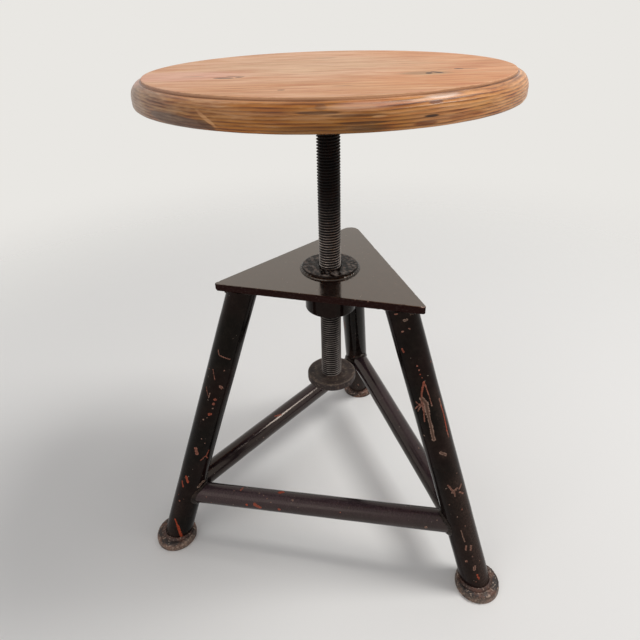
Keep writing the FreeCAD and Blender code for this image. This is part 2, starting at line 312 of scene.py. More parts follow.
def piece(name, grids, body, nodes, material):
    """Mesh of one or more grids, in place of the CAD nodes that it stands for.

    Each cell of a grid is a four-sided face.  The UV map holds metres along the columns and
    rows, and the attributes hold the grid's layers of finish.
    """
    points, faces, maps, start = [], [], [], 0
    layers = {layer: [] for layer in FINISH_LAYERS}
    for grid in grids:
        rows, columns = grid.points.shape[:2]
        index = np.arange(rows * columns).reshape(rows, columns) + start
        start += rows * columns
        looped = grid.points
        if grid.rows_close:
            index = np.vstack([index, index[:1]])
            looped = np.concatenate([looped, looped[:1]])
        if grid.columns_close:
            index = np.hstack([index, index[:, :1]])
            looped = np.concatenate([looped, looped[:, :1]], axis=1)
        across = np.linalg.norm(np.diff(looped, axis=1), axis=-1).mean(0)
        down = np.linalg.norm(np.diff(looped, axis=0), axis=-1).mean(1)
        place = np.stack(np.meshgrid(
            np.concatenate([[0], np.cumsum(across)]), np.concatenate([[0], np.cumsum(down)])),
            axis=-1)
        cells = [(slice(None, -1), slice(None, -1)), (slice(None, -1), slice(1, None)),
                 (slice(1, None), slice(1, None)), (slice(1, None), slice(None, -1))]
        faces.append(np.stack([index[cell] for cell in cells], axis=-1).reshape(-1, 4))
        maps.append(np.stack([place[cell] for cell in cells], axis=-2).reshape(-1, 4, 2))
        points.append(grid.points.reshape(-1, 3))
        for layer, values in layers.items():
            values.append(np.broadcast_to(getattr(grid, layer), (rows, columns)).reshape(-1))
    points, faces, maps = np.vstack(points), np.vstack(faces), np.vstack(maps)
    mesh = bpy.data.meshes.new(name)
    mesh.vertices.add(len(points))
    mesh.vertices.foreach_set("co", points.astype(np.float32).ravel())
    mesh.loops.add(faces.size)
    mesh.loops.foreach_set("vertex_index", faces.astype(np.int32).ravel())
    mesh.polygons.add(len(faces))
    mesh.polygons.foreach_set("loop_start", np.arange(0, faces.size, 4, dtype=np.int32))
    mesh.uv_layers.new(name="UVMap").uv.foreach_set("vector", maps.astype(np.float32).ravel())
    for layer, values in layers.items():
        finish = mesh.attributes.new(layer, "FLOAT", "POINT")
        finish.data.foreach_set("value", np.concatenate(values).astype(np.float32))
    mesh.update(calc_edges=True)
    shell = bmesh.new()
    shell.from_mesh(mesh)
    bmesh.ops.remove_doubles(shell, verts=shell.verts, dist=MERGE_DISTANCE)
    bmesh.ops.recalc_face_normals(shell, faces=shell.faces)
    shell.to_mesh(mesh)
    shell.free()
    mesh.shade_smooth()
    mesh.set_sharp_from_angle(angle=SHARP_ANGLE)
    mesh.materials.append(material)
    thing = bpy.data.objects.new(name, mesh)
    bpy.context.scene.collection.objects.link(thing)
    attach(thing, body)
    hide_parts(*nodes)
    return thing


def square_to(way):
    """Two unit vectors square to a sloping or level direction, the first of them level."""
    level = unit(np.cross(way, UP))
    return level, np.cross(way, level)


class Leg(NamedTuple):
    """Axis of a leg: its point on the floor, and its unit direction upwards."""
    foot: np.ndarray
    way: np.ndarray

    def at(self, height):
        """Point of the axis at a height."""
        return self.foot + self.way * (height / self.way[2])


def leg_axis(side):
    """Axis through the middle of a leg's foot and its place under the top plate."""
    low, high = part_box(side + "_foot")
    foot = np.array([(low.x + high.x) / 2, (low.y + high.y) / 2, 0.0])
    top = flat(CORNERS[side]) * LEG_TOP_REACH
    top[2] = foot_of("top_plate")
    return Leg(foot, unit(top - foot))


LEGS = {side: leg_axis(side) for side in CORNERS}


def generators(origin, way, radius, columns):
    """Start points of the straight lines that make a round bar's side, and their directions
    outward from its axis."""
    first, second = square_to(way)
    ring = compass(columns)
    outward = ring[:, :1] * first + ring[:, 1:2] * second
    return origin + radius * outward, outward


def leaving(starts, way, leg, radius, after):
    """Distance along each line to where it leaves (after 1) or meets (after -1) a leg's side.

    It is a root of the quadratic for a point that lies radius from the leg's axis.
    """
    level = way - (way @ leg.way) * leg.way
    gap = starts - leg.foot
    gap = gap - (gap @ leg.way)[:, None] * leg.way
    a, b = level @ level, gap @ level
    c = (gap * gap).sum(1) - radius ** 2
    return (-b + after * np.sqrt(b * b - a * c)) / a


def bead_grid(corner, away, up, size, seed, ripple=3.2 * MM, around=9, sink=0.35):
    """Weld bead in the corner between two surfaces.

    corner is the line where they meet, away and up point along each of them from it.  The
    section bulges between size along the one and size along the other, closes below the
    surfaces, and swells and shrinks with the pool's ripples.
    """
    length = np.linalg.norm(np.diff(np.vstack([corner, corner[:1]]), axis=0), axis=1)
    along = np.concatenate([[0], np.cumsum(length)[:-1]])
    waves = max(3, round(length.sum() / ripple))
    phase = along / length.sum() * waves * TAU
    random = np.random.default_rng(seed)
    drift = 0.16 * lumps(corner, 16 * MM, seed)
    beat = 0.07 * np.sin(phase + 0.7 * np.sin(phase / 5 + random.uniform(0, TAU)))
    reach = (size * (1 + drift + beat))[..., None] * np.ones((len(corner), 1))
    angle = np.linspace(0, math.pi / 2, around)
    rows = [corner + reach * (away * over + up * above)
            for over, above in zip(np.cos(angle) ** 1.25, np.sin(angle) ** 1.25)]
    rows.append(corner - sink * reach * (away + up))
    ridge = np.append(np.sin(2 * angle), 0.0)[:, None]
    return Grid(np.stack(rows), rows_close=True, wear=0.25 * ridge)


def tube_grid(starts_out, starts_in, way, low, high, low_in, high_in, rows, dents, seed):
    """Tube between two cut ends: its outer side, then its inner side back again."""
    share = np.linspace(0, 1, rows)[:, None, None]
    outer = starts_out + way * (low[:, None] + (high - low)[:, None] * share)
    share = np.linspace(1, 0, 4)[:, None, None]
    inner = starts_in + way * (low_in[:, None] + (high_in - low_in)[:, None] * share)
    depth = dents * hollows(outer, 45 * MM, seed)
    outer = outer - unit(starts_out - starts_in) * depth[..., None]
    return np.concatenate([outer, inner])


def gap_to(points, origin, way, radius, mark):
    """Distance on a bar's surface from its points to a mark.

    A mark runs from (distance along the bar, angle round it) to a second such place, or is one
    such place, in millimetres and degrees.  The surface is unrolled, so the distance is to a
    straight line.
    """
    first, second = square_to(way)
    from_origin = points - origin
    angle = np.arctan2(from_origin @ second, from_origin @ first)
    begin, turn, end, last_turn = (*mark, *mark)[:4]
    across = (angle - math.radians(turn) + math.pi) % TAU - math.pi
    here = np.stack([from_origin @ way - begin * MM, across * radius], axis=-1)
    swing = math.radians((last_turn - turn + 180) % 360 - 180)
    run = np.array([(end - begin) * MM, swing * radius])
    # A mark of one place has no run, so the divisor is held above zero
    share = ((here @ run) / max(run @ run, 1e-12)).clip(0, 1)
    return np.linalg.norm(here - share[..., None] * run, axis=-1)


def tube_finish(points, origin, way, radius, chips, rubs_and_sheens):
    """Wear, rawness and rub of a tube's points from its chips and rubbed stretches, some of which
    are painted glints and painted sheens.

    A chip is a mark, its half width and its rawness, and wear falls evenly from 1 on the
    mark through one half at the half width.  A rub is a mark, its half width and its strength.
    """
    wear, raw, rub = (np.zeros(points.shape[:2]) for _ in FINISH_LAYERS)
    # Some chips are painted glints, drawn as pale bare steel
    for *mark, half_width, bare in chips:
        near = 1 - gap_to(points, origin, way, radius, mark) / (2 * half_width * MM)
        # A point takes the rawness of the chip that wears it most, from a wear of 0.1
        raw = np.where(near > np.maximum(wear, 0.1), bare, raw)
        wear = np.maximum(wear, near)
    for *mark, half_width, strength in rubs_and_sheens:
        gap = gap_to(points, origin, way, radius, mark)
        rub = np.maximum(rub, strength * bell(gap, half_width * MM))
    return {"wear": wear, "raw": raw, "rub": rub}


def spotted(points, spots):
    """Wear that is 1 in the middle of each spot (place, half width) and falls off softly."""
    wear = np.zeros(points.shape[:2])
    for *place, half_width in spots:
        gap = np.linalg.norm(points - np.array(place) * MM, axis=-1)
        wear = np.maximum(wear, bell(gap, half_width * MM))
    return wear


# Finishes

def put(tree, kind, sockets=None, **settings):
    """Adds a node.  A socket gets a value, an output, or another node's first live output."""
    node = tree.nodes.new("ShaderNode" + kind)
    for key, value in settings.items():
        setattr(node, key, value)
    for key, value in (sockets or {}).items():
        socket = node.inputs[key]
        if isinstance(key, str) and not socket.enabled:
            socket = next(other for other in node.inputs if other.name == key and other.enabled)
        if isinstance(value, bpy.types.Node):
            value = next(output for output in value.outputs if output.enabled)
        if isinstance(value, bpy.types.NodeSocket):
            tree.links.new(value, socket)
        else:
            socket.default_value = value
    return node


def blank(block):
    """Empty node tree of a new material or world."""
    block.use_nodes = True
    block.node_tree.nodes.clear()
    return block.node_tree


# Settings that many nodes share
SOFT = {"interpolation_type": "SMOOTHSTEP"}
RGBA = {"data_type": "RGBA"}
STAIN = {"data_type": "RGBA", "blend_type": "MULTIPLY"}


def worn_enamel(name, paint, shade, primer, gloss, shine, flaking=0.0, dust=0.1, brushed=0.3,
                rubbed=tone("#4a3a33"), ior=1.5):
    """Brushed enamel over red lead primer on steel.

    It gives the eye a dark mirror, wavy from the brush, with dust and hairline scratches in it,
    and sharp-edged chips of red primer or tan bare steel.
    """
    material = bpy.data.materials.new(name)
    tree = blank(material)
    coordinates = put(tree, "TexCoord")
    spot = coordinates.outputs["Object"]
    wear, raw, rub = (put(tree, "Attribute", attribute_name=layer).outputs["Fac"]
                      for layer in FINISH_LAYERS)
    # Brush marks run along the tube, twenty times as long as they are wide
    stroke_place = put(tree, "Mapping", {
        "Vector": coordinates.outputs["UV"], "Scale": (1.0, 0.05, 1.0)})
    # Each noise has a place, a size in millimetres, detail and roughness.  The last is specks
    # of grit, which are 0.3 mm and are drawn near 1 mm, so that they show
    strokes, grit, patches, regions, peel, specks = (
        put(tree, "TexNoise", {
            "Vector": place, "Scale": 1 / (size * MM), "Detail": detail, "Roughness": roughness})
        for place, size, detail, roughness in (
            (stroke_place, 1.2, 3.0, 0.6), (spot, 1.9, 3.0, 0.65), (spot, 8.0, 6.0, 0.72),
            (spot, 60.0, 2.0, 0.5), (spot, 11.0, 1.0, 0.5), (spot, 2.6, 1.0, 0.5)))
    # Chips: the drawn ones with a ragged border, and small ones wherever the noise is high
    ragged = put(tree, "Math", {0: grit, 1: 0.8, 2: wear}, operation="MULTIPLY_ADD")
    drawn = put(tree, "Math", {0: ragged, 1: 0.4}, operation="SUBTRACT")
    chance = put(tree, "Math", {0: regions, 1: 0.35, 2: patches}, operation="MULTIPLY_ADD")
    small = put(tree, "Math", {0: chance, 1: 0.93 - flaking}, operation="SUBTRACT")
    small = put(tree, "Math", {0: small, 1: 9.0, 2: 0.5}, operation="MULTIPLY_ADD")
    chip = put(tree, "Math", {0: drawn, 1: small}, operation="MAXIMUM")
    bare = put(tree, "MapRange", {"Value": chip, "From Min": 0.46, "From Max": 0.54}, **SOFT)
    # A chip shows primer or steel at its border, and browned steel in its middle
    mottle = put(tree, "MapRange", {"Value": grit, "From Min": 0.35, "From Max": 0.65})
    steel = put(tree, "Mix", {"Factor": mottle, "A": tone("#4c372d"), "B": tone("#a38a7a")}, **RGBA)
    lead = put(tree, "Mix", {"Factor": mottle, "A": tone("#76301f"), "B": primer}, **RGBA)
    ground = put(tree, "Mix", {"Factor": raw, "A": lead, "B": steel}, **RGBA)
    middle = put(tree, "MapRange", {
        "Value": drawn, "From Min": 0.68, "From Max": 0.9, "To Max": 0.9})
    middle = put(tree, "Math", {0: middle, 1: raw}, operation="MULTIPLY")
    ground = put(tree, "Mix", {"Factor": middle, "A": ground, "B": tone("#46332b")}, **RGBA)
    # Colour, from the paint outwards: its drift, dust, handling and painted sheen, hairlines,
    # specks and chips
    drift = put(tree, "MapRange", {"Value": regions, "From Min": 0.4, "From Max": 0.62})
    haze = put(tree, "MapRange", {
        "Value": patches, "From Min": 0.45, "From Max": 0.75, "To Max": dust})
    rub_and_sheen = put(tree, "MapRange", {"Value": grit, "From Min": 0.25, "From Max": 0.7})
    rub_and_sheen = put(tree, "Math", {0: rub_and_sheen, 1: rub}, operation="MULTIPLY")
    hairs = put(tree, "MapRange", {
        "Value": strokes, "From Min": 0.72, "From Max": 0.76, "To Max": 0.3 + dust}, **SOFT)
    specks = put(tree, "MapRange", {
        "Value": specks, "From Min": 0.77, "From Max": 0.80, "To Max": 0.6}, **SOFT)
    colour = paint
    for cover, over in ((drift, shade), (haze, tone("#75675b")), (rub_and_sheen, rubbed),
                        (hairs, tone("#7d6f66")), (specks, tone("#9c8c7c")), (bare, ground)):
        colour = put(tree, "Mix", {"Factor": cover, "A": colour, "B": over}, **RGBA)
    # Roughness and relief
    rough = gloss
    for cover, dulling in ((rub_and_sheen, 0.25), (haze, 1.2), (bare, 0.45)):
        rough = put(tree, "Math", {0: cover, 1: dulling, 2: rough}, operation="MULTIPLY_ADD")
    relief = put(tree, "Math", {0: strokes, 1: brushed, 2: peel}, operation="MULTIPLY_ADD")
    relief = put(tree, "Math", {0: bare, 1: -1.2, 2: relief}, operation="MULTIPLY_ADD")
    bump = put(tree, "Bump", {"Height": relief, "Strength": 0.5, "Distance": 0.15 * MM})
    mirror = put(tree, "MapRange", {"Value": rub_and_sheen, "To Min": shine, "To Max": 0.1 * shine})
    shader = put(tree, "BsdfPrincipled", {
        "Base Color": colour, "Roughness": rough, "IOR": ior, "Specular IOR Level": mirror,
        "Specular Tint": tone("#fbeadb"), "Normal": bump})
    put(tree, "OutputMaterial", {"Surface": shader})
    return material


# Marks in the seat: middle in millimetres, its height counted from the seat's top, tilt and
# turn in degrees, half sizes in millimetres along, through and across the mark, softness,
# colour, and strength
SEAT_MARKS = (
    # Worn places of the face: pale in the middle, pink at the left, orange at the front
    ((-10, 20, 0), 0, 16, (110, 70, 9), 0.9, "#d0b191", 0.45),
    ((-115, -70, 0), 0, 16, (55, 30, 9), 0.8, "#d9a695", 0.55),
    ((10, -130, 0), 0, 16, (110, 34, 9), 0.8, "#c3895a", 0.5),
    ((110, -75, 0), 0, 16, (70, 40, 9), 0.8, "#c88754", 0.45),
    # The knot on the left: streak, and two thin arcs of its outline
    ((-68.5, -77.3, 0), 0, 3, (9.0, 3.0, 3), 0.25, "#2b211c", 1.0),
    ((-64, -66.5, 0), 0, 2, (6.5, 2.0, 3), 0.3, "#5c4434", 0.8),
    ((-56.5, -71.5, 0), 0, 70, (5.5, 2.2, 3), 0.3, "#5c4434", 0.75),
    # The knot on the right: grey wood round it, eye, arc, and dashes beyond it
    ((92, -38, 0), 0, 16, (20, 11, 3), 0.6, "#a98e6c", 0.65),
    ((94.9, -38.8, 0), 0, 0, (2.8, 4.2, 3), 0.25, "#17110e", 1.0),
    ((101, -33.5, 0), 0, -40, (7.0, 2.5, 3), 0.25, "#40312a", 0.95),
    ((117, -9, 0), 0, 10, (4.0, 2.8, 3), 0.25, "#41322a", 0.95),
    ((125, -7, 0), 0, 8, (8.0, 1.4, 3), 0.3, "#6b4c38", 0.7),
    ((106, -12, 0), 0, 17, (7.0, 1.3, 3), 0.3, "#7a5840", 0.6),
    # Small dark marks of the face
    ((1.1, -134.7, 0), 0, 20, (2.8, 1.6, 3), 0.3, "#5a3d2a", 0.9),
    ((-21.6, 79.6, 0), 0, 12, (11, 2.5, 3), 0.5, "#8a705c", 0.7),
    ((-100, -70, 0), 0, 14, (10, 1.8, 3), 0.5, "#8a6a56", 0.7),
    ((40, -112, 0), 0, 14, (7, 1.4, 3), 0.4, "#7a5036", 0.6),
    # The rim: stains, painted shade along the lower edge of its front, a painted shadow below a
    # pale streak, a smudge, dark lines and gouges
    ((-70, -159.0, -17.5), 3, -24, (36, 8, 4.4), 0.35, "#6b5446", 0.85),
    # Painted shade along the lower edge of the rim's front
    ((42.0, -169.0, -19.5), 0, 14, (40, 8, 3.6), 0.7, "#5e3c1c", 0.5),
    # Painted shadow below the pale streak that follows
    ((-42.0, -168.5, -18), 20, -14, (8, 6, 2.4), 0.4, "#63432c", 0.7),
    ((-41.5, -169.0, -13.8), 31, -14, (9.5, 6, 1.3), 0.5, "#cf9864", 0.9),
    ((39.0, -170.0, -4.5), 0, 13, (4.0, 6, 2.4), 0.5, "#6d4630", 0.55),
    ((37.0, -170.6, -8.2), 0, 12, (15, 6, 0.9), 0.4, "#4d2b15", 0.8),
    ((62.0, -163.0, -10.4), 0, 21, (18, 6, 1.0), 0.4, "#55321a", 0.6),
    ((66.0, -161.8, -15), 0, 22, (17, 6, 1.0), 0.4, "#4d2d15", 0.7),
    ((70.0, -159.8, -18.6), 0, 23, (14, 6, 2.2), 0.6, "#63421f", 0.6),
    ((106.2, -138.6, -14), 0, 37, (5.5, 6, 0.8), 0.6, "#2b1810", 0.95),
    ((102.6, -141.2, -18.4), 0, 36, (9, 6, 1.4), 0.6, "#66290f", 0.7),
    ((128, -118, -17), 0, 47, (16, 6, 2.2), 0.6, "#a05a28", 0.5),
    # Painted highlights on the varnish below the step, a broad pale sheen and a bright streak, and
    # small marks near them
    ((66, -158.0, -5), 0, 23, (22, 6, 2.6), 0.8, "#e2b596", 0.6),
    ((114.3, -127.2, -3), 0, 42, (15, 6, 1.3), 0.8, "#ecd6c6", 0.55),
    ((108.7, -135.2, -6.1), 0, 39, (6, 6, 1.0), 0.5, "#6e4438", 0.8),
    ((75.0, -157.6, -11.5), 0, 25, (5, 6, 0.7), 0.6, "#e3b07a", 0.6),
)


def growth_rings(tree, place, face_height):
    """Late wood: 1 where it is darkest in a growth ring, and 0 in the early wood.

    Rings are 2.2 mm apart in the distance from a pith 400 mm below the face, and wander with
    a noise that is stretched along the grain.
    """
    slow = put(tree, "Mapping", {"Vector": place, "Scale": (0.25, 0.4, 1.0)})
    wander = put(tree, "TexNoise", {
        "Vector": slow, "Scale": 1 / (26 * MM), "Detail": 3.0, "Roughness": 0.5})
    log = put(tree, "Mapping", {
        "Vector": place, "Location": (0.0, 0.0, 400 * MM - face_height),
        "Scale": (0.02, 0.2, 1.0)})
    distance = put(tree, "VectorMath", {0: log}, operation="LENGTH")
    ring = put(tree, "Math", {0: wander, 1: 4.5 * MM, 2: distance}, operation="MULTIPLY_ADD")
    ring = put(tree, "Math", {0: ring, 1: 1 / (2.2 * MM)}, operation="MULTIPLY")
    ring = put(tree, "Math", {0: ring}, operation="FRACT")
    rise = put(tree, "MapRange", {"Value": ring, "From Min": 0.25, "From Max": 0.85}, **SOFT)
    fall = put(tree, "MapRange", {
        "Value": ring, "From Min": 0.88, "From Max": 1.0, "To Min": 1.0, "To Max": 0.0})
    return put(tree, "Math", {0: rise, 1: fall}, operation="MULTIPLY")


def with_seat_marks(tree, colour, spot, streak, face_height):
    """Colour with the seat's marks over it.

    A mark is an ellipsoid: its cover falls over its softness, where the distance from its
    middle, in half sizes, is about 1, and the wood's streaks make its border ragged.
    """
    for (x, y, z), tilt, swing, half_sizes, softness, code, strength in SEAT_MARKS:
        mark = put(tree, "Mapping", {
            "Vector": spot, "Location": (x * MM, y * MM, face_height + z * MM),
            "Rotation": (0.0, math.radians(tilt), math.radians(swing)),
            "Scale": [value * MM for value in half_sizes]}, vector_type="TEXTURE")
        mark = put(tree, "VectorMath", {0: mark}, operation="LENGTH")
        mark = put(tree, "Math", {0: streak, 1: 0.8, 2: mark}, operation="MULTIPLY_ADD")
        mark = put(tree, "MapRange", {
            "Value": mark, "From Min": 1.4 + softness / 2, "From Max": 1.4 - softness / 2,
            "To Max": strength}, **SOFT)
        colour = put(tree, "Mix", {"Factor": mark, "A": colour, "B": tone(code)}, **RGBA)
    return colour


def varnished_softwood(name, face, rim, turn, face_height):
    """Flat-sawn pine, turned and varnished, its face rubbed pale by use.

    It gives the eye level growth lines round the rim, fine streaks along the grain on the
    face, two small knots, and a glossy rim that is greyer where the grain ends.
    """
    material = bpy.data.materials.new(name)
    tree = blank(material)
    spot = put(tree, "TexCoord").outputs["Object"]
    place = put(tree, "Mapping", {"Vector": spot, "Rotation": (0.0, 0.0, -turn)}).outputs[0]
    along = put(tree, "SeparateXYZ", {"Vector": place}).outputs[0]
    worn, step = (put(tree, "Attribute", attribute_name=layer).outputs["Fac"]
                  for layer in ("wear", "rub"))
    late = growth_rings(tree, place, face_height)
    # On the rim all streaks are drawn longer round it, since they follow the growth rings there
    layers = put(tree, "Mapping", {"Vector": place, "Scale": (1.0, 0.22, 1.0)})
    place = put(tree, "Mix", {"Factor": worn, "A": layers, "B": place}, data_type="VECTOR")
    # Each noise has a stretch, a size in millimetres, detail and roughness.  Fibres are 0.1 mm
    # wide and are drawn near 1 mm, so that they show
    fibre, streak, cloud = (
        put(tree, "TexNoise", {
            "Vector": put(tree, "Mapping", {"Vector": place, "Scale": stretch}),
            "Scale": 1 / (size * MM), "Detail": detail, "Roughness": roughness})
        for stretch, size, detail, roughness in (
            ((0.022, 0.5, 1.0), 1.3, 3.0, 0.6), ((0.09, 0.75, 1.0), 4.5, 4.0, 0.65),
            ((0.35, 1.0, 1.0), 26.0, 4.0, 0.6)))
    to_left = put(tree, "MapRange", {"Value": along, "From Min": -0.06, "From Max": -0.14}, **SOFT)
    to_right = put(tree, "MapRange", {"Value": along, "From Min": 0.0, "From Max": 0.1}, **SOFT)
    # Face: pale worn wood, warmer to the right, with tan clouds and pink and tan streaks
    clouds = put(tree, "MapRange", {
        "Value": cloud, "From Min": 0.42, "From Max": 0.62, "To Max": 0.7}, **SOFT)
    faint_late = put(tree, "MapRange", {"Value": late, "To Max": 0.4})
    for cover, code in ((to_right, "#d39a70"), (clouds, "#c8966e"), (faint_late, "#c48a62")):
        face = put(tree, "Mix", {"Factor": cover, "A": face, "B": tone(code)}, **RGBA)
    # Rim: varnished wood with dark late wood, grey brown at the left, orange at the right
    gold = put(tree, "MapRange", {
        "Value": cloud, "From Min": 0.4, "From Max": 0.65, "To Max": 0.7})
    lined = put(tree, "MapRange", {
        "Value": streak, "From Min": 0.35, "From Max": 0.65, "To Min": 0.3, "To Max": 0.95})
    lined = put(tree, "Math", {0: late, 1: lined}, operation="MULTIPLY")
    for cover, code in ((to_left, "#a07c5e"), (to_right, "#e8a468"), (gold, "#c4822a"),
                        (lined, "#643c1e")):
        rim = put(tree, "Mix", {"Factor": cover, "A": rim, "B": tone(code)}, **RGBA)
    colour = put(tree, "Mix", {"Factor": worn, "A": rim, "B": face}, **RGBA)
    colour = with_seat_marks(tree, colour, spot, streak, face_height)
    # Pink and tan streaks run through all of it
    pink = put(tree, "MapRange", {
        "Value": streak, "From Min": 0.5, "From Max": 0.66, "To Max": 0.5})
    colour = put(tree, "Mix", {"Factor": pink, "A": colour, "B": tone("#d79c83")}, **STAIN)
    pale = put(tree, "MapRange", {"Value": streak, "From Min": 0.48, "From Max": 0.3})
    amount = put(tree, "MapRange", {"Value": worn, "To Min": 0.25, "To Max": 0.5})
    pale = put(tree, "Math", {0: pale, 1: amount}, operation="MULTIPLY")
    # The step's wall is greyer at the left, and a dark line of dirt and painted shade lies along
    # its foot, faded at the middle where light is painted on the rim below
    wall = put(tree, "Mix", {"Factor": to_left, "A": tone("#dba67c"), "B": tone("#bd937a")}, **RGBA)
    walled = put(tree, "MapRange", {"Value": step, "From Max": 0.5, "To Max": 0.75})
    patchiness = put(tree, "MapRange", {
        "Value": streak, "From Min": 0.3, "From Max": 0.55, "To Min": 0.25, "To Max": 0.85})
    dirt_and_shade_line = put(tree, "MapRange", {"Value": step, "From Min": 0.7, "From Max": 1.0})
    dirt_and_shade_line = put(tree, "Math", {0: dirt_and_shade_line, 1: patchiness}, operation="MULTIPLY")
    aside = put(tree, "Math", {0: along, 1: 25 * MM}, operation="SUBTRACT")
    aside = put(tree, "Math", {0: aside}, operation="ABSOLUTE")
    sheen_gap = put(tree, "MapRange", {
        "Value": aside, "From Min": 22 * MM, "From Max": 38 * MM, "To Min": 0.15})
    dirt_and_shade_line = put(tree, "Math", {0: dirt_and_shade_line, 1: sheen_gap}, operation="MULTIPLY")
    dirt_and_shade_tone = put(tree, "Mix", {
        "Factor": to_right, "A": tone("#80502f"), "B": tone("#5b3320")}, **RGBA)
    for cover, over in ((pale, tone("#e2bd97")), (walled, wall), (dirt_and_shade_line, dirt_and_shade_tone)):
        colour = put(tree, "Mix", {"Factor": cover, "A": colour, "B": over}, **RGBA)
    # Dark fibres lie over everything, fainter on the face
    dark_fibre = put(tree, "MapRange", {
        "Value": fibre, "From Min": 0.45, "From Max": 0.75, "To Max": 0.7})
    depth = put(tree, "MapRange", {"Value": worn, "To Min": 1.0, "To Max": 0.7})
    dark_fibre = put(tree, "Math", {0: dark_fibre, 1: depth}, operation="MULTIPLY")
    colour = put(tree, "Mix", {"Factor": dark_fibre, "A": colour, "B": tone("#a0714c")}, **STAIN)
    # Roughness and relief
    rough = put(tree, "MapRange", {"Value": worn, "To Min": 0.24, "To Max": 0.5})
    rough = put(tree, "Math", {0: fibre, 1: 0.2, 2: rough}, operation="MULTIPLY_ADD")
    relief = put(tree, "Math", {0: late, 1: 0.6, 2: fibre}, operation="MULTIPLY_ADD")
    bump = put(tree, "Bump", {"Height": relief, "Strength": 0.6, "Distance": 0.3 * MM})
    shader = put(tree, "BsdfPrincipled", {
        "Base Color": colour, "Roughness": rough, "IOR": 1.5, "Specular IOR Level": 0.3,
        "Normal": bump})
    put(tree, "OutputMaterial", {"Surface": shader})
    return material


def browned_steel(name, crest, ground, bloom, rough_low, rough_high, metal=0.5, grain=0.8 * MM,
                  specks=0.0, shine=0.5):
    """Cut steel that has browned, and is rubbed bright where it runs or is stood on.

    It gives the eye bright rubbed edges on a dark, slightly rusty ground, with pale specks.
    """
    material = bpy.data.materials.new(name)
    tree = blank(material)
    spot = put(tree, "TexCoord").outputs["Object"]
    wear = put(tree, "Attribute", attribute_name="wear").outputs["Fac"]
    # Each noise has a size, detail and roughness.  The last is specks, which are 0.3 mm and are
    # drawn near 1 mm, so that they show
    patchiness, fine, speck = (
        put(tree, "TexNoise", {
            "Vector": spot, "Scale": 1 / size, "Detail": detail, "Roughness": roughness})
        for size, detail, roughness in (
            (12 * MM, 5.0, 0.7), (grain, 3.0, 0.6), (2.6 * MM, 2.0, 0.5)))
    rubbed = put(tree, "Math", {0: fine, 1: 0.5, 2: wear}, operation="MULTIPLY_ADD")
    rubbed = put(tree, "MapRange", {"Value": rubbed, "From Min": 0.55, "From Max": 1.25}, **SOFT)
    patchy = put(tree, "MapRange", {
        "Value": patchiness, "From Min": 0.3, "From Max": 0.6, "To Min": 0.35})
    rubbed = put(tree, "Math", {0: rubbed, 1: patchy}, operation="MULTIPLY")
    bloomed = put(tree, "MapRange", {"Value": patchiness, "From Min": 0.42, "From Max": 0.68}, **SOFT)
    speck = put(tree, "MapRange", {
        "Value": speck, "From Min": 0.58, "From Max": 0.66, "To Max": specks}, **SOFT)
    colour = ground
    for cover, over in ((bloomed, bloom), (rubbed, crest), (speck, tone("#a58f7e"))):
        colour = put(tree, "Mix", {"Factor": cover, "A": colour, "B": over}, **RGBA)
    rough = put(tree, "MapRange", {"Value": rubbed, "To Min": rough_high, "To Max": rough_low})
    metallic = put(tree, "MapRange", {"Value": rubbed, "To Min": metal, "To Max": 1.0})
    bump = put(tree, "Bump", {"Height": fine, "Strength": 0.4, "Distance": 0.15 * MM})
    shader = put(tree, "BsdfPrincipled", {
        "Base Color": colour, "Roughness": rough, "Metallic": metallic,
        "Specular IOR Level": shine, "Normal": bump})
    put(tree, "OutputMaterial", {"Surface": shader})
    return material


FINISHES = {}


# Operators, one for each piece or group of like pieces

class STOOL_OT_seat(bpy.types.Operator):
    """Turn the wooden seat board"""
    bl_idname = "stool.seat"
    bl_label = "Seat board"

    def execute(self, context):
        sizes = context.scene.stool_seat
        top, under = top_of("seat_board"), foot_of("seat_board")
        radius, face = sizes.diameter / 2, sizes.face_diameter / 2
        floor = top - sizes.step_depth
        widest = top - 14 * MM
        ledge, flat_under = face + 1.5 * MM, radius - 8 * MM
        # The shoulder is a quarter of an ellipse, from the step's foot to the widest line
        quarter = np.linspace(0, math.pi / 2, 12)[:, None]
        shoulder = np.hstack([
            ledge + (radius - ledge) * np.sin(quarter),
            widest + (floor - widest) * np.cos(quarter)])
        belly = rounded([(radius, widest, 0), (radius, under, 3 * MM), (flat_under, under, 0)],
                        run=1.2 * MM, arc_points=8)
        upper = rounded([(0, top, 0), (face, top, 0.7 * MM), (face + 0.2 * MM, floor, 0.3 * MM),
                         (ledge, floor, 0)], run=2.6 * MM, arc_points=4)
        lower = rounded([(flat_under, under, 0), (0, under, 0)], run=8 * MM)
        profile = np.vstack([upper[:-1], shoulder, belly[1:-1], lower])
        columns = 600
        points = turned(profile, columns)
        out, height = profile[:, :1], profile[:, 1:]
        dents = 0.35 * MM * hollows(points, 26 * MM, seed=3) * ramp(out, face, face + 3 * MM)
        points = points - compass(columns) * dents[..., None]
        above = height > widest
        sitting = above & (out < face + 0.1 * MM)
        step = above & (out > face - 0.5 * MM) & (out < ledge + 0.1 * MM)
        step_foot = step & (height < floor + 0.5 * MM)
        grid = Grid(points, wear=1.0 * sitting, rub=0.5 * step + 0.5 * step_foot)
        piece("turned_seat_board", [grid], "seat", ["seat_board"], FINISHES["seat"])
        return {"FINISHED"}


def add_seat_plate():
    """Flat ring under the seat, round the spindle's neck."""
    ring = ring_profile(
        NECK_RADIUS + CLEARANCE, width_of("seat_plate") / 2, foot_of("seat_plate"),
        top_of("seat_plate"), lip=0.3 * MM, low_round=0.8 * MM, high_round=0.5 * MM,
        run=3 * MM, arc_points=4)
    piece("seat_mounting_plate", [Grid(turned(ring, columns=160), rows_close=True)], "seat",
          ["seat_plate"], FINISHES["plate"])


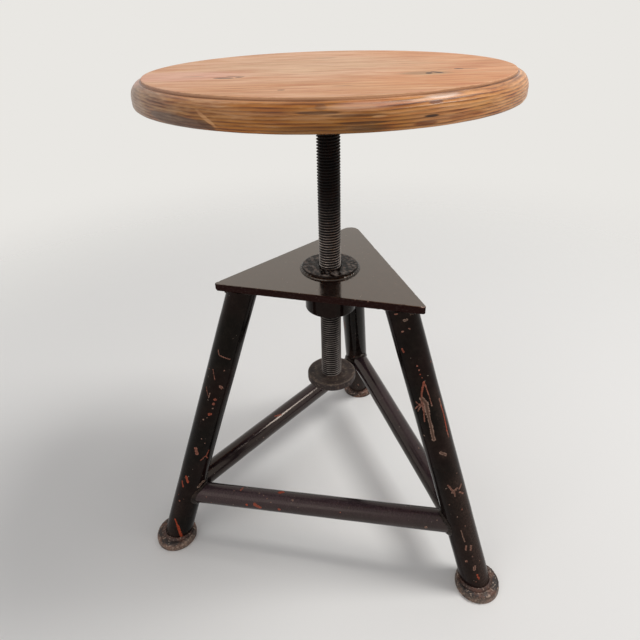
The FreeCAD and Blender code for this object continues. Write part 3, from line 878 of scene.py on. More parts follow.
def add_seat_screws():
    """Four countersunk screws: a cone under the head, a shank and a point, all turned, and a
    slot pressed into the head where a point lies near the line across it."""
    circle, head, shank = 48 * MM, 4.5 * MM, 2.25 * MM
    head_depth, length, point_length = 2.6 * MM, 20 * MM, 5 * MM
    slot_half_width, slot_depth, slot_bevel = 0.75 * MM, 1.1 * MM, 0.2 * MM
    low = foot_of("seat_plate")
    end = low + length
    profile = rounded([
        (0, low, 0), (head, low, 0.2 * MM), (shank, low + head_depth, 0.2 * MM),
        (shank, end - point_length, 0), (0, end, 0)], run=0.35 * MM, arc_points=4)
    grids = []
    for k in range(4):
        points = turned(profile, columns=48)
        aside = np.abs(points @ np.cross(flat(31 * k + 20), UP))
        slot = ramp(aside, slot_half_width, slot_half_width - slot_bevel)
        slot = slot * ramp(points[..., 2], low + 0.5 * MM, low + 0.2 * MM)
        points[..., 2] += slot_depth * slot
        grids.append(Grid(points + flat(90 * k + 45) * circle))
    piece("seat_mounting_screws", grids, "seat", ["seat_screws"],
          FINISHES["zinc"])


def add_neck_bead():
    """Weld bead round the spindle's neck, under the seat plate."""
    out = compass(120)
    corner = out * NECK_RADIUS + foot_of("seat_plate") * UP
    bead = bead_grid(corner, out, -UP, size=4.0 * MM, seed=5)
    piece("spindle_neck_bead", [bead], "seat", ["seat_plate_weld"],
          FINISHES["weld"])


class STOOL_OT_seat_mounting(bpy.types.Operator):
    """Make the plate, screws and weld under the seat"""
    bl_idname = "stool.seat_mounting"
    bl_label = "Seat mounting"

    def execute(self, context):
        add_seat_plate()
        add_seat_screws()
        add_neck_bead()
        return {"FINISHED"}


# Outline of a tooth of the thread: distance along the axis in millimetres, for a pitch of
# 3 mm, and share of the thread's depth
TOOTH_PITCH = 3.0
TOOTH = np.array([
    (0.0, 0.0), (0.12, 0.05), (0.82, 0.84), (0.95, 0.95), (1.125, 1.0), (1.30, 0.95),
    (1.43, 0.84), (2.13, 0.05), (2.25, 0.0)])


def thread_rows(sizes, growth, start, end, columns, worn):
    """Rows of a screw thread between two heights, and how far up its tooth each point is.

    Each row climbs one pitch in a turn, so a row runs along the thread.  Its radius comes from
    the tooth's outline at (height - the shoulder's height) / pitch - turn, and its height is
    held between the ends, which leaves them flat.
    """
    depth, pitch = sizes.depth, sizes.pitch
    minor = sizes.diameter / 2 - depth + growth
    share = TOOTH[:, 0] / TOOTH_PITCH
    turn = np.linspace(0, 1, columns + 1)
    first = math.floor((start - SHOULDER) / pitch) - 1
    last = math.ceil((end - SHOULDER) / pitch) + 1
    steps = (np.arange(first, last)[:, None] + share).ravel()
    height = (SHOULDER + pitch * (steps[:, None] + turn)).clip(start, end)
    along = ((height - SHOULDER) / pitch - turn) % 1.0
    tooth = np.interp(along, np.append(share, 1.0), np.append(TOOTH[:, 1], 0.0))
    radius = (minor + depth * tooth)[..., None]
    way = flat(360 * turn)
    points = radius * way + height[..., None] * UP
    if worn:
        nicks = 0.5 * MM * peaks(points, 5 * MM, seed=11, level=0.9) * tooth
        points = points - way * nicks[..., None]
    return points, tooth


def ring_rows(profile, columns):
    """Rows of a surface of revolution with its first column repeated at the end."""
    points = turned(profile, columns)
    return np.concatenate([points, points[:, :1]], axis=1)


class STOOL_OT_screw(bpy.types.Operator):
    """Cut the threaded spindle"""
    bl_idname = "stool.screw"
    bl_label = "Threaded spindle"

    def execute(self, context):
        sizes = context.scene.stool_screw
        columns = 56
        end, top = foot_of("spindle"), top_of("spindle")
        plain_neck, hole_depth = 7.5 * MM, 24 * MM
        thread_top = foot_of("seat_plate") - plain_neck
        hole, hole_end = STOP_SCREW_RADIUS + CLEARANCE, end + hole_depth
        points, tooth = thread_rows(sizes, 0.0, SHOULDER, thread_top, columns, worn=True)
        tail = ring_rows(rounded([
            (0, hole_end, 0), (hole, hole_end, 0), (hole, end, 0.3 * MM),
            (SPIGOT_RADIUS, end, 0.6 * MM), (SPIGOT_RADIUS, SHOULDER, 0)],
            run=3 * MM, arc_points=4), columns)
        neck = ring_rows(rounded([
            (NECK_RADIUS, thread_top, 0), (NECK_RADIUS, top, 0.3 * MM), (0, top, 0)],
            run=3 * MM, arc_points=4), columns)
        # The crests are brightest just above the bush, where it mostly runs, and fade upwards,
        # which also paints the seat's shade on the upper thread
        height = points[..., 2]
        bush_middle, fade_end, fade_length = 330 * MM, 460 * MM, 75 * MM
        bright = np.clip((fade_end - height) / fade_length, 0.1, 1.4)
        bright = np.where(height < bush_middle, 0.85, bright)
        wear = np.concatenate([
            np.full(tail.shape[:2], 0.2), tooth ** 3 * bright, np.full(neck.shape[:2], 0.1)])
        grid = Grid(np.concatenate([tail, points, neck]), columns_close=False, wear=wear)
        piece("screw_spindle", [grid], "seat", ["spindle"], FINISHES["screw"])
        return {"FINISHED"}


def add_stop_disc():
    """Flat ring on the spindle's spigot, dented, and rubbed on its top where the bush meets it."""
    radius, columns = width_of("stop_disc") / 2, 200
    top = top_of("stop_disc")
    ring = ring_profile(
        SPIGOT_RADIUS + CLEARANCE, radius, foot_of("stop_disc"), top, lip=0.4 * MM,
        low_round=1.8 * MM, high_round=1.8 * MM, run=1.6 * MM, arc_points=7)
    points = turned(ring, columns)
    dents = 0.25 * MM * hollows(points, 12 * MM, seed=8)
    points = points - compass(columns) * dents[..., None]
    out, height = ring[:, :1], ring[:, 1:]
    meets = bell(out - 19 * MM, 2 * MM)
    edge = bell(out - radius + 1.2 * MM, 1.0 * MM)
    on_top = ramp(height, top - 2 * MM, top - 0.5 * MM)
    wear = (0.38 + 0.12 * meets + 0.15 * edge) * on_top
    piece("travel_stop_disc", [Grid(points, rows_close=True, wear=wear)],
          "stop", ["stop_disc"], FINISHES["stop"])


def add_stop_washer():
    """Flat ring between the stop disc and the hexagon screw."""
    ring = ring_profile(
        STOP_SCREW_RADIUS + 2 * CLEARANCE, width_of("stop_washer") / 2, foot_of("stop_washer"),
        top_of("stop_washer"), lip=0.2 * MM, low_round=0.5 * MM, high_round=0.2 * MM,
        run=1.5 * MM, arc_points=4)
    piece("spindle_washer", [Grid(turned(ring, columns=72), rows_close=True)], "seat",
          ["stop_washer"], FINISHES["zinc"])


def add_stop_screw():
    """Hexagon screw: a turned screw whose head is held inside six flats and inside a cone that
    takes off the flats' corners.  A flat lies at its distance / cos(angle from its middle)."""
    head_low, head_top, end = foot_of("stop_screw"), foot_of("stop_washer"), top_of("stop_screw")
    middle_to_flat, corner, columns = 8 * MM, 9.24 * MM, 96
    profile = rounded([
        (0, head_low, 0), (corner, head_low, 0), (corner, head_top, 0),
        (STOP_SCREW_RADIUS, head_top, 0), (STOP_SCREW_RADIUS, end, 0.6 * MM), (0, end, 0)],
        run=0.8 * MM, arc_points=4)
    out, height = profile[:, :1], profile[:, 1:]
    angle = np.arange(columns) * TAU / columns
    flats = middle_to_flat / np.cos((angle + math.pi / 6) % (math.pi / 3) - math.pi / 6)
    cone = 7.7 * MM + 1.9 * np.abs(height - head_low)
    limit = np.where(height < head_top + 0.01 * MM, np.minimum(flats, cone), np.inf)
    points = np.minimum(out, limit)[..., None] * compass(columns) + height[..., None] * UP
    piece("spindle_hex_screw", [Grid(points)], "seat", ["stop_screw"],
          FINISHES["zinc"])


class STOOL_OT_stop(bpy.types.Operator):
    """Make the stop disc, its washer and its hexagon screw"""
    bl_idname = "stool.stop"
    bl_label = "Stop disc"

    def execute(self, context):
        add_stop_disc()
        add_stop_washer()
        add_stop_screw()
        return {"FINISHED"}


def add_bush(sizes):
    """Flanged bush: a turned outside, with a dented top, and the thread's rows inside it."""
    columns = 96
    high, low = top_of("threaded_bush"), foot_of("threaded_bush")
    seat_face = top_of("top_plate")
    flange = width_of("threaded_bush") / 2
    mouth, bevel = 12.75 * MM, 1.5 * MM
    outside = rounded([
        (mouth, high - bevel, 0), (mouth + bevel, high, 0.4 * MM),
        (flange, high, 1.8 * MM), (flange, seat_face, 0.3 * MM),
        (BARREL_RADIUS, seat_face, 0.3 * MM), (BARREL_RADIUS, low, 1.6 * MM),
        (mouth + bevel, low, 0.4 * MM), (mouth, low + bevel, 0)],
        run=1.4 * MM, arc_points=6)
    out, height = outside[:, :1], outside[:, 1:]
    body = ring_rows(outside, columns)
    on_top = ramp(out, 15 * MM, 19 * MM) * (height > high - 0.3 * MM)
    body[..., 2] -= 0.3 * MM * hollows(body, 9 * MM, seed=21) * on_top
    thread, _ = thread_rows(sizes, 0.3 * MM, low + bevel, high - bevel, columns, worn=False)
    # The flange's edge and mouth are worn, and patches of its top are rubbed to the steel
    edge = (out > flange - 2.2 * MM) & (height > seat_face)
    mouth_rub = ramp(out, 18 * MM, 13 * MM) * (height > seat_face)
    wear = np.concatenate([0.2 * edge + 0.25 * mouth_rub, np.full((len(thread), 1), 0.2)])
    patches = (0.25 + 1.2 * lumps(body, 6 * MM, seed=22)).clip(0, 1)
    rub = np.concatenate([1.3 * on_top * patches, np.zeros(thread.shape[:2])])
    grid = Grid(np.concatenate([body, thread]), rows_close=True, columns_close=False,
                wear=wear, raw=0.8, rub=rub)
    piece("flanged_bush", [grid], "frame", ["threaded_bush"], FINISHES["bush"])


def add_bush_beads():
    """Weld beads round the flange on the top plate, and round the barrel below it."""
    out = compass(180)
    flange = width_of("threaded_bush") / 2
    above, below = top_of("top_plate") * UP, foot_of("top_plate") * UP
    beads = [bead_grid(out * flange + above, out, UP, size=2.3 * MM, seed=31, ripple=4.5 * MM),
             bead_grid(out * BARREL_RADIUS + below, out, -UP, size=3.5 * MM, seed=32,
                       ripple=4.5 * MM)]
    piece("bush_beads", beads, "frame", ["bush_welds"], FINISHES["bush_bead"])


class STOOL_OT_bush(bpy.types.Operator):
    """Turn the flanged bush, with its thread, and lay its two welds"""
    bl_idname = "stool.bush"
    bl_label = "Threaded bush"

    def execute(self, context):
        add_bush(context.scene.stool_screw)
        add_bush_beads()
        return {"FINISHED"}


def plate_outline(run=1.6 * MM):
    """Rounded triangle: points along its edge and their outward directions."""
    points, normals = [], []
    middles = {side: flat(angle) * 2 * (PLATE_REACH - PLATE_ROUNDINGS[side])
               for side, angle in CORNERS.items()}
    sides = list(CORNERS)
    for side, following in zip(sides, sides[1:] + sides[:1]):
        out = flat(CORNERS[side] + np.linspace(-60, 60, 12))
        start = middles[side] + PLATE_ROUNDINGS[side] * out[-1]
        end = middles[following] + PLATE_ROUNDINGS[following] * out[-1]
        count = round(np.linalg.norm(end - start) / run)
        share = np.linspace(0, 1, count + 1)[1:-1, None]
        points += [middles[side] + PLATE_ROUNDINGS[side] * out, start + (end - start) * share]
        normals += [out, np.repeat(out[-1:], len(share), axis=0)]
    return np.vstack(points), np.vstack(normals)


# Front right corner of the top plate: place and half width of its knock, which is also a painted
# glint, in millimetres
CORNER_KNOCK_AND_GLINT = ((107.4, -63.0, 343.0, 3.5),)


class STOOL_OT_top_plate(bpy.types.Operator):
    """Cut the triangular top plate"""
    bl_idname = "stool.top_plate"
    bl_label = "Top plate"

    def execute(self, context):
        low, high = foot_of("top_plate"), top_of("top_plate")
        edge, outward = plate_outline()
        hole = unit(edge) * (BARREL_RADIUS + CLEARANCE)
        # Rows run from the hole along the underside, round the edge's section, and back on top
        border = -3 * MM
        side = rounded([(border, low, 0), (0, low, 0.7 * MM), (0, high, 0.9 * MM),
                        (border, high, 0)], run=1.0 * MM, arc_points=6)
        out, height = side[:, :1], side[:, 1:]
        rim = edge + outward * out[..., None] + UP * height[..., None]
        bites = 0.9 * MM * peaks(rim, 7 * MM, seed=41, level=0.55)
        bites = bites * bell(out + 0.2 * MM, 1.0 * MM)
        rim = rim - outward * bites[..., None]
        inward = np.linspace(0, 1, 26)[1:, None, None]
        upper = rim[-1] + (hole + high * UP - rim[-1]) * inward
        lower = (rim[0] + (hole + low * UP - rim[0]) * inward)[::-1]
        # The upper arris is knocked, most of all at the front right corner, and its pale knocks
        # also stand as painted glints; the side below it takes the rub layer all over, which makes
        # it dark and dull
        arris = bell(height - high + 0.3 * MM, 0.9 * MM) * (out > -1.2 * MM)
        knocks_and_glints = 1.2 * peaks(rim, 5 * MM, seed=44, level=0.6) + 0.6 * spotted(rim, CORNER_KNOCK_AND_GLINT)
        beyond_rim = ((len(lower), len(upper)), (0, 0))
        wear = np.pad(arris * (0.12 + knocks_and_glints), beyond_rim)
        rub = np.pad(6.0 * (height < high - 0.3 * MM), beyond_rim)
        rows = np.concatenate([lower, rim, upper])
        grid = Grid(rows, rows_close=True, wear=wear, raw=0.8, rub=rub)
        piece("triangle_plate", [grid], "frame", ["top_plate"],
              FINISHES["plate"])
        return {"FINISHED"}


# Chips on each tube, and three painted glints on the right leg near the plate, drawn as chips.
# Each runs from (distance along the tube in millimetres, angle round it in degrees) to a second
# such place, or stays at one, and has a half width in millimetres and a rawness: 0 is red primer
# and 1 is bare steel.
CHIPS_AND_GLINTS = {
    "left": (
        (283, 303, 278, 312, 0.6, 0.7), (278, 312, 276, 358, 0.6, 0.7),
        (258, 302, 246, 323, 0.5, 0.6), (233, 291, 224, 311, 0.5, 0.6), (255, 281, 0.9, 0.7),
        (261, 347, 0.9, 0.7), (240, 349, 238, 357, 1.5, 0.7), (228, 316, 222, 315, 0.6, 0.9),
        (222, 342, 1.8, 0.3), (216, 341, 1.6, 0.4), (210, 341, 0.9, 0.9),
        (201, 334, 202, 339, 1.5, 0.2), (196, 330, 0.8, 0.9), (192, 317, 1.0, 0.9),
        (166, 330, 0.8, 0.9), (161, 348, 0.9, 0.9), (150, 14, 142, 9, 0.6, 0.2),
        (142, 9, 140, 358, 0.7, 0.3), (138, 357, 135, 347, 0.6, 0.4), (141, 8, 138, 19, 0.6, 0.3),
        (150, 316, 144, 328, 1.9, 0.5), (106, 307, 100, 321, 1.6, 0.1),
        (96, 292, 90, 305, 1.1, 0.1), (75, 292, 0.7, 0.4), (68, 305, 1.2, 0.5), (73, 322, 0.8, 0.8),
        (99, 25, 94, 12, 2.0, 1.0), (98, 47, 100, 30, 1.6, 1.0), (89, 20, 86, 5, 1.2, 0.8),
        (38, 307, 29, 329, 1.1, 0.0), (29, 329, 14, 354, 1.6, 0.0)),
    "right": (
        # The first, third and fourth chips of the right leg are painted glints near the plate
        (346, 215, 346, 226, 1.1, 1.0), (313, 184, 316, 181, 1.2, 0.3),
        (350, 243, 349, 256, 0.8, 1.0), (354, 190, 354, 199, 0.7, 0.6),
        (337, 224, 336, 228, 0.7, 0.7), (335, 198, 335, 204, 0.7, 0.7), (296, 218, 0.9, 0.4),
        (291, 221, 1.0, 0.5), (286, 221, 0.9, 0.2), (282, 224, 0.7, 0.4),
        (277, 226, 267, 210, 1.0, 0.3), (267, 210, 258, 201, 0.9, 0.4),
        (258, 201, 246, 199, 1.0, 0.6), (246, 199, 232, 190, 0.7, 0.5),
        (259, 204, 253, 213, 2.4, 0.9), (253, 213, 241, 210, 2.3, 0.9),
        (255, 177, 251, 190, 0.6, 0.6), (246, 162, 253, 192, 0.6, 0.6),
        (244, 174, 251, 193, 0.7, 0.7), (241, 210, 227, 209, 1.6, 0.9),
        (227, 209, 210, 206, 1.8, 0.9), (275, 228, 262, 231, 0.6, 0.5),
        (262, 231, 249, 232, 0.5, 0.6), (249, 233, 0.9, 1.0), (251, 271, 244, 270, 1.1, 0.7),
        (244, 270, 232, 272, 0.9, 0.2), (232, 272, 214, 266, 0.9, 0.1),
        (214, 266, 206, 267, 0.8, 0.5), (293, 281, 0.8, 0.1), (193, 218, 189, 234, 1.6, 0.9),
        (214, 171, 0.8, 1.0), (152, 212, 140, 229, 1.0, 0.7), (145, 243, 142, 219, 1.0, 0.8),
        (144, 228, 137, 227, 0.9, 0.8), (139, 250, 135, 263, 0.9, 0.7),
        (146, 267, 143, 249, 0.8, 0.7), (127, 198, 0.8, 0.9), (118, 239, 0.9, 0.5),
        (110, 215, 0.7, 0.9), (96, 235, 0.9, 0.8), (92, 214, 76, 217, 0.6, 0.9),
        (70, 217, 65, 213, 0.9, 0.7), (68, 236, 63, 232, 1.3, 0.8), (54, 232, 1.0, 0.9),
        (49, 203, 1.7, 0.7), (40, 229, 36, 224, 1.4, 0.8), (44, 255, 0.8, 0.8),
        (28, 230, 22, 232, 1.1, 0.1), (19, 218, 0.8, 0.6), (162, 259, 0.7, 0.8)),
    "back": (
        (120, 90, 108, 96, 1.2, 0.4), (70, 60, 58, 66, 1.6, 0.1), (200, 40, 186, 44, 0.8, 0.7),
        (40, 100, 36, 104, 0.8, 0.8), (150, 200, 141, 206, 1.4, 0.6), (90, 330, 78, 322, 1.2, 0.2)),
    "front_stretcher": (
        (70, 276, 72, 255, 1.0, 0.3), (94, 279, 1.0, 1.0), (100, 289, 0.7, 1.0),
        (105, 303, 0.8, 0.8), (110, 320, 0.9, 0.9), (118, 259, 122, 252, 2.0, 0.0),
        (80, 351, 1.5, 0.0), (90, 342, 96, 358, 2.1, 0.1), (120, 356, 1.8, 0.1),
        (136, 297, 1.2, 0.9), (62, 283, 0.9, 0.8), (34, 6, 0.9, 0.6), (28, 332, 0.7, 0.7),
        (160, 251, 0.8, 1.0), (76, 242, 0.8, 1.0), (203, 303, 0.9, 1.0), (194, 329, 0.8, 0.3),
        (273, 245, 0.9, 0.9), (291, 356, 1.8, 0.8), (303, 312, 0.8, 1.0)),
    "left_stretcher": ((186, 256, 178, 242, 1.1, 0.2), (218, 191, 0.9, 0.9)),
    "right_stretcher": ((112, 278, 1.0, 0.9), (182, 297, 0.7, 0.5)),
}

# Bare places of the weld beads, of which the fifth and sixth are painted glints: middle and half
# width in millimetres
BEAD_BARE_SPOTS_AND_GLINTS = (
    (-136.6, -113.8, 90.0, 4.0), (-139.0, -117.5, 87.0, 3.0), (-135.6, -108.2, 89.0, 3.5),
    (-11.8, 164.6, 96.9, 4.0), (6.8, 169.5, 92.7, 2.5), (154.7, -95.3, 82.0, 2.5))

# Stretches of each tube that hands and shoes have rubbed brown, which on the front and right
# stretchers also paint a sheen along the upper side: mark, half width, strength
RUBS_AND_SHEENS = {
    "left": ((120, 245, 20, 245, 10, 0.5), (60, 300, 5, 300, 9, 0.4)),
    "right": ((260, 262, 150, 262, 7, 0.4), (150, 258, 15, 258, 13, 0.75),
              (192, 226, 190, 226, 5, 0.6)),
    "back": ((120, 90, 10, 90, 14, 0.6),),
    # On the front and right stretchers the rubs also paint a sheen along the upper side
    "front_stretcher": ((20, 300, 130, 300, 12, 1.0), (110, 300, 300, 290, 11, 0.8)),
    "left_stretcher": ((60, 250, 240, 250, 6, 0.3),),
    "right_stretcher": ((40, 270, 230, 270, 8, 0.5),),
}


class STOOL_OT_legs(bpy.types.Operator):
    """Make the three leg tubes"""
    bl_idname = "stool.legs"
    bl_label = "Legs"

    def execute(self, context):
        sizes = context.scene.stool_frame
        radius = sizes.leg_diameter / 2
        for k, (side, leg) in enumerate(LEGS.items()):
            # Straight lines along the leg, each cut where it reaches the foot and the plate
            starts, outward = generators(leg.foot, leg.way, radius, columns=140)
            inside = starts - outward * sizes.leg_wall
            low, high = foot_of(side + "_leg"), top_of(side + "_leg")
            cuts = [(height - start[:, 2]) / leg.way[2]
                    for start in (starts, inside) for height in (low, high)]
            points = tube_grid(starts, inside, leg.way, *cuts, rows=320, dents=0.25 * MM,
                               seed=50 + k)
            finish = tube_finish(points, leg.foot, leg.way, radius, CHIPS_AND_GLINTS[side], RUBS_AND_SHEENS[side])
            piece(side + "_leg_tube", [Grid(points, rows_close=True, **finish)], "frame",
                  [side + "_leg"], FINISHES["leg"])
        return {"FINISHED"}


def level_section(leg, radius, height, columns=150):
    """Level section of a leg's side at a height: points and level directions away from it."""
    starts, _ = generators(leg.foot, leg.way, radius, columns)
    ring = starts + leg.way * ((height - starts[:, 2]) / leg.way[2])[:, None]
    out = ring - leg.at(height)
    normal = out - (out @ leg.way)[:, None] * leg.way
    return ring, unit(normal * [1, 1, 0])


def room_on_plate(points):
    """Distance from points to the nearest straight edge of the top plate."""
    edges = flat(np.array(list(CORNERS.values())) + 60)
    return (PLATE_REACH - points @ edges.T).min(-1)


def stretcher_axis(name):
    """Start point and unit direction of a stretcher's axis, and its two legs' names."""
    (first, low), (second, high) = STRETCHER_ENDS[name]
    start, end = LEGS[first].at(low), LEGS[second].at(high)
    return start, unit(end - start), (first, second)


def stretcher_bead(side, name, sizes, seed):
    """Weld bead round a stretcher's end, on the curve where its side meets a leg's side."""
    leg = LEGS[side]
    start, way, ends = stretcher_axis(name)
    after = 1 if ends[0] == side else -1
    starts, outward = generators(start, way, sizes.stretcher_diameter / 2, columns=110)
    reach = leaving(starts, way, leg, sizes.leg_diameter / 2, after)
    corner = starts + way * reach[:, None]
    normal = corner - leg.foot
    normal = unit(normal - (normal @ leg.way)[:, None] * leg.way)
    along_leg = unit(outward - (outward * normal).sum(1)[:, None] * normal)
    bead = bead_grid(corner, after * way[None], along_leg, size=2.9 * MM, seed=seed,
                     ripple=4 * MM)
    # Bare spots, and painted glints drawn as bare steel
    bare = spotted(bead.points, BEAD_BARE_SPOTS_AND_GLINTS)
    return bead._replace(wear=np.maximum(bead.wear, 0.9 * bare), raw=bare)


class STOOL_OT_welds(bpy.types.Operator):
    """Lay the weld beads at the top, stretchers and foot of each leg"""
    bl_idname = "stool.welds"
    bl_label = "Leg welds"

    def execute(self, context):
        sizes = context.scene.stool_frame
        radius = sizes.leg_diameter / 2
        for k, (side, leg) in enumerate(LEGS.items()):
            # A bead is smaller where the plate or the foot leaves it less room
            ring, out = level_section(leg, radius, foot_of("top_plate"))
            size = (0.8 * room_on_plate(ring)).clip(0.25 * MM, 3.8 * MM)
            bead = bead_grid(ring, out, -leg.way, size, seed=60 + k, ripple=4 * MM)
            piece(side + "_leg_top_bead", [bead], "frame",
                  [side + "_leg_top_weld"], FINISHES["weld"])
            ring, out = level_section(leg, radius, top_of(side + "_foot"))
            from_middle = np.linalg.norm((ring - leg.foot)[:, :2], axis=1)
            size = (FOOT_TOP_RADIUS - from_middle).clip(0.8 * MM, 3.0 * MM)
            bead = bead_grid(ring, out, leg.way, size, seed=70 + k, ripple=3.5 * MM)
            piece(side + "_leg_foot_bead", [bead], "frame",
                  [side + "_leg_foot_weld"], FINISHES["foot_weld"])
            joined = [name for name, ends in STRETCHER_ENDS.items() if side in dict(ends)]
            beads = [stretcher_bead(side, name, sizes, seed=80 + 3 * k + j)
                     for j, name in enumerate(joined)]
            piece(side + "_leg_stretcher_beads", beads, "frame",
                  [side + "_leg_stretcher_weld"], FINISHES["weld"])
        return {"FINISHED"}


# Painted highlights of the feet, drawn as pale rubbed steel: middle and half width in millimetres
FOOT_PAINTED_HIGHLIGHTS = (
    (203.0, -114.0, 6.0, 6.0), (210.0, -108.0, 6.0, 5.0), (-162.0, -139.0, 6.0, 5.0),
    (-158.0, -133.0, 6.0, 4.0), (10.0, 200.0, 6.0, 3.5))


class STOOL_OT_feet(bpy.types.Operator):
    """Turn the three round feet"""
    bl_idname = "stool.feet"
    bl_label = "Feet"

    def execute(self, context):
        radius = context.scene.stool_frame.foot_diameter / 2
        rim_top = 4 * MM
        for k, (side, leg) in enumerate(LEGS.items()):
            top = top_of(side + "_foot")
            # The dome is a quarter of an ellipse, from the upright rim to the flat for the leg
            quarter = np.linspace(0, math.pi / 2, 12)[:, None]
            dome = np.hstack([
                FOOT_TOP_RADIUS + (radius - FOOT_TOP_RADIUS) * np.cos(quarter),
                rim_top + (top - rim_top) * np.sin(quarter)])
            below = rounded([(0, 0, 0), (radius, 0, 1.2 * MM), (radius, rim_top, 0)],
                            run=2 * MM, arc_points=5)
            above = rounded([(FOOT_TOP_RADIUS, top, 0), (0, top, 0)], run=2 * MM)
            profile = np.vstack([below[:-1], dome, above[1:]])
            points = turned(profile, columns=160, middle=leg.foot[:2])
            out, height = profile[:, :1], profile[:, 1:]
            # Pits go in towards a point 10 mm below the floor, all round the rim and dome
            pits = 0.6 * MM * hollows(points, 4.5 * MM, seed=90 + k)
            pits = pits * ((height > 2 * MM) & (out > 16 * MM))
            points = points - unit(points - leg.foot + 10 * MM * UP) * pits[..., None]
            edge = bell(out - radius, 2 * MM)
            shared = 0.08 if side == "back" else 0.24
            # Rubbed edges, and painted highlights at the given places
            wear = shared * (1 + 1.2 * edge) + 0.55 * spotted(points, FOOT_PAINTED_HIGHLIGHTS)
            piece(side + "_foot_disc", [Grid(points, wear=wear)], "frame",
                  [side + "_foot"], FINISHES["foot"])
        return {"FINISHED"}


def coped_end(lines, name, side, cope_radius):
    """Distance along each of a stretcher's lines to its end at a leg.

    The end lies on the leg's side, or on the upright plane between this stretcher and the next
    one where a line reaches that plane first.
    """
    _, way, ends = stretcher_axis(name)
    after = 1 if ends[0] == side else -1
    height = dict(STRETCHER_ENDS[name])[side]
    here = LEGS[side].at(height)
    other = next(end for end in CORNERS if end not in ends)
    away = unit(LEGS[other].at(height) - here)
    normal = unit((away - after * way) * [1, 1, 0])
    mitre = -((lines - here) @ normal) / (way @ normal)
    cope = leaving(lines, way, LEGS[side], cope_radius, after)
    return np.maximum(cope, mitre) if after > 0 else np.minimum(cope, mitre)


class STOOL_OT_stretchers(bpy.types.Operator):
    """Cope and fit the three stretcher tubes"""
    bl_idname = "stool.stretchers"
    bl_label = "Stretchers"

    def execute(self, context):
        sizes = context.scene.stool_frame
        radius, root_gap = sizes.stretcher_diameter / 2, 0.15 * MM
        cope_radius = sizes.leg_diameter / 2 + root_gap
        for k, name in enumerate(STRETCHER_ENDS):
            start, way, ends = stretcher_axis(name)
            starts, outward = generators(start, way, radius, columns=120)
            inside = starts - outward * sizes.stretcher_wall
            cuts = [coped_end(lines, name, side, cope_radius)
                    for lines in (starts, inside) for side in ends]
            points = tube_grid(starts, inside, way, *cuts, rows=260, dents=0.2 * MM,
                               seed=100 + k)
            node = name + "_stretcher"
            finish = tube_finish(points, start, way, radius, CHIPS_AND_GLINTS[node], RUBS_AND_SHEENS[node])
            piece(node + "_tube", [Grid(points, rows_close=True, **finish)], "frame",
                  [node], FINISHES["stretcher"])
        return {"FINISHED"}


class STOOL_OT_finishes(bpy.types.Operator):
    """Mix the finishes of all pieces"""
    bl_idname = "stool.finishes"
    bl_label = "Finishes"

    def execute(self, context):
        scene = context.scene
        seat, screw, metal = scene.stool_seat, scene.stool_screw, scene.stool_frame
        enamel, primer, wine = metal.enamel_colour, metal.primer_colour, tone("#180d0c")
        FINISHES["seat"] = varnished_softwood(
            "varnished_pine_worn_face", seat.face_colour, seat.rim_colour, seat.grain_turn,
            top_of("seat_board"))
        FINISHES["screw"] = browned_steel(
            "oiled_cut_steel_thread", screw.crest_colour, screw.root_colour, tone("#1d1310"),
            rough_low=0.25, rough_high=0.5, metal=0.1, shine=0.15)
        FINISHES["stop"] = browned_steel(
            "browned_turned_steel", tone("#93826f"), tone("#241714"), tone("#3c2c26"),
            rough_low=0.4, rough_high=0.6, metal=0.2, specks=0.22)
        FINISHES["zinc"] = browned_steel(
            "dull_zinc_plated_steel", tone("#8f8c86"), tone("#6a6660"), tone("#5a5048"),
            rough_low=0.35, rough_high=0.5)
        FINISHES["foot_weld"] = browned_steel(
            "rusted_weld_bead", tone("#a0745c"), tone("#36231c"), tone("#5f3d2f"),
            rough_low=0.4, rough_high=0.6, metal=0.2, specks=0.5)
        FINISHES["foot"] = browned_steel(
            "rusted_steel_foot", tone("#c0a490"), tone("#1e1411"), tone("#6b4838"),
            rough_low=0.28, rough_high=0.5, metal=0.2, grain=1.6 * MM, specks=0.75)
        # The plate's index is raised, so that it mirrors more of the pale air
        FINISHES["plate"] = worn_enamel(
            "gloss_enamel_on_plate", tone("#130b0a"), tone("#1d100e"), primer, gloss=0.09,
            shine=1.0, dust=0.2, brushed=0.1, rubbed=tone("#1e0908"), ior=1.8)
        FINISHES["bush"] = worn_enamel(
            "rubbed_enamel_on_bush", enamel, wine, primer, gloss=0.1, shine=0.1, dust=0.04,
            brushed=0.2, rubbed=tone("#99918a"))
        FINISHES["bush_bead"] = worn_enamel(
            "gloss_enamel_on_bush_bead", enamel, wine, primer, gloss=0.08, shine=0.6,
            dust=0.05, brushed=0.2)
        FINISHES["leg"] = worn_enamel(
            "chipped_enamel_on_leg_tube", enamel, wine, primer, gloss=0.14, shine=0.09,
            flaking=0.02, dust=0.05)
        # Its rubbed tone also paints the sheen along the upper side of the front and right
        # stretchers
        FINISHES["stretcher"] = worn_enamel(
            "satin_enamel_on_stretcher_tube", tone("#1b1316"), tone("#251a1d"), primer,
            gloss=0.11, shine=0.45, dust=0.08, rubbed=tone("#4f3f43"))
        FINISHES["weld"] = worn_enamel(
            "enamel_on_weld_bead", enamel, wine, primer, gloss=0.25, shine=0.2, flaking=0.03,
            dust=0.2, brushed=0.2, rubbed=tone("#6a5a4c"))
        return {"FINISHED"}


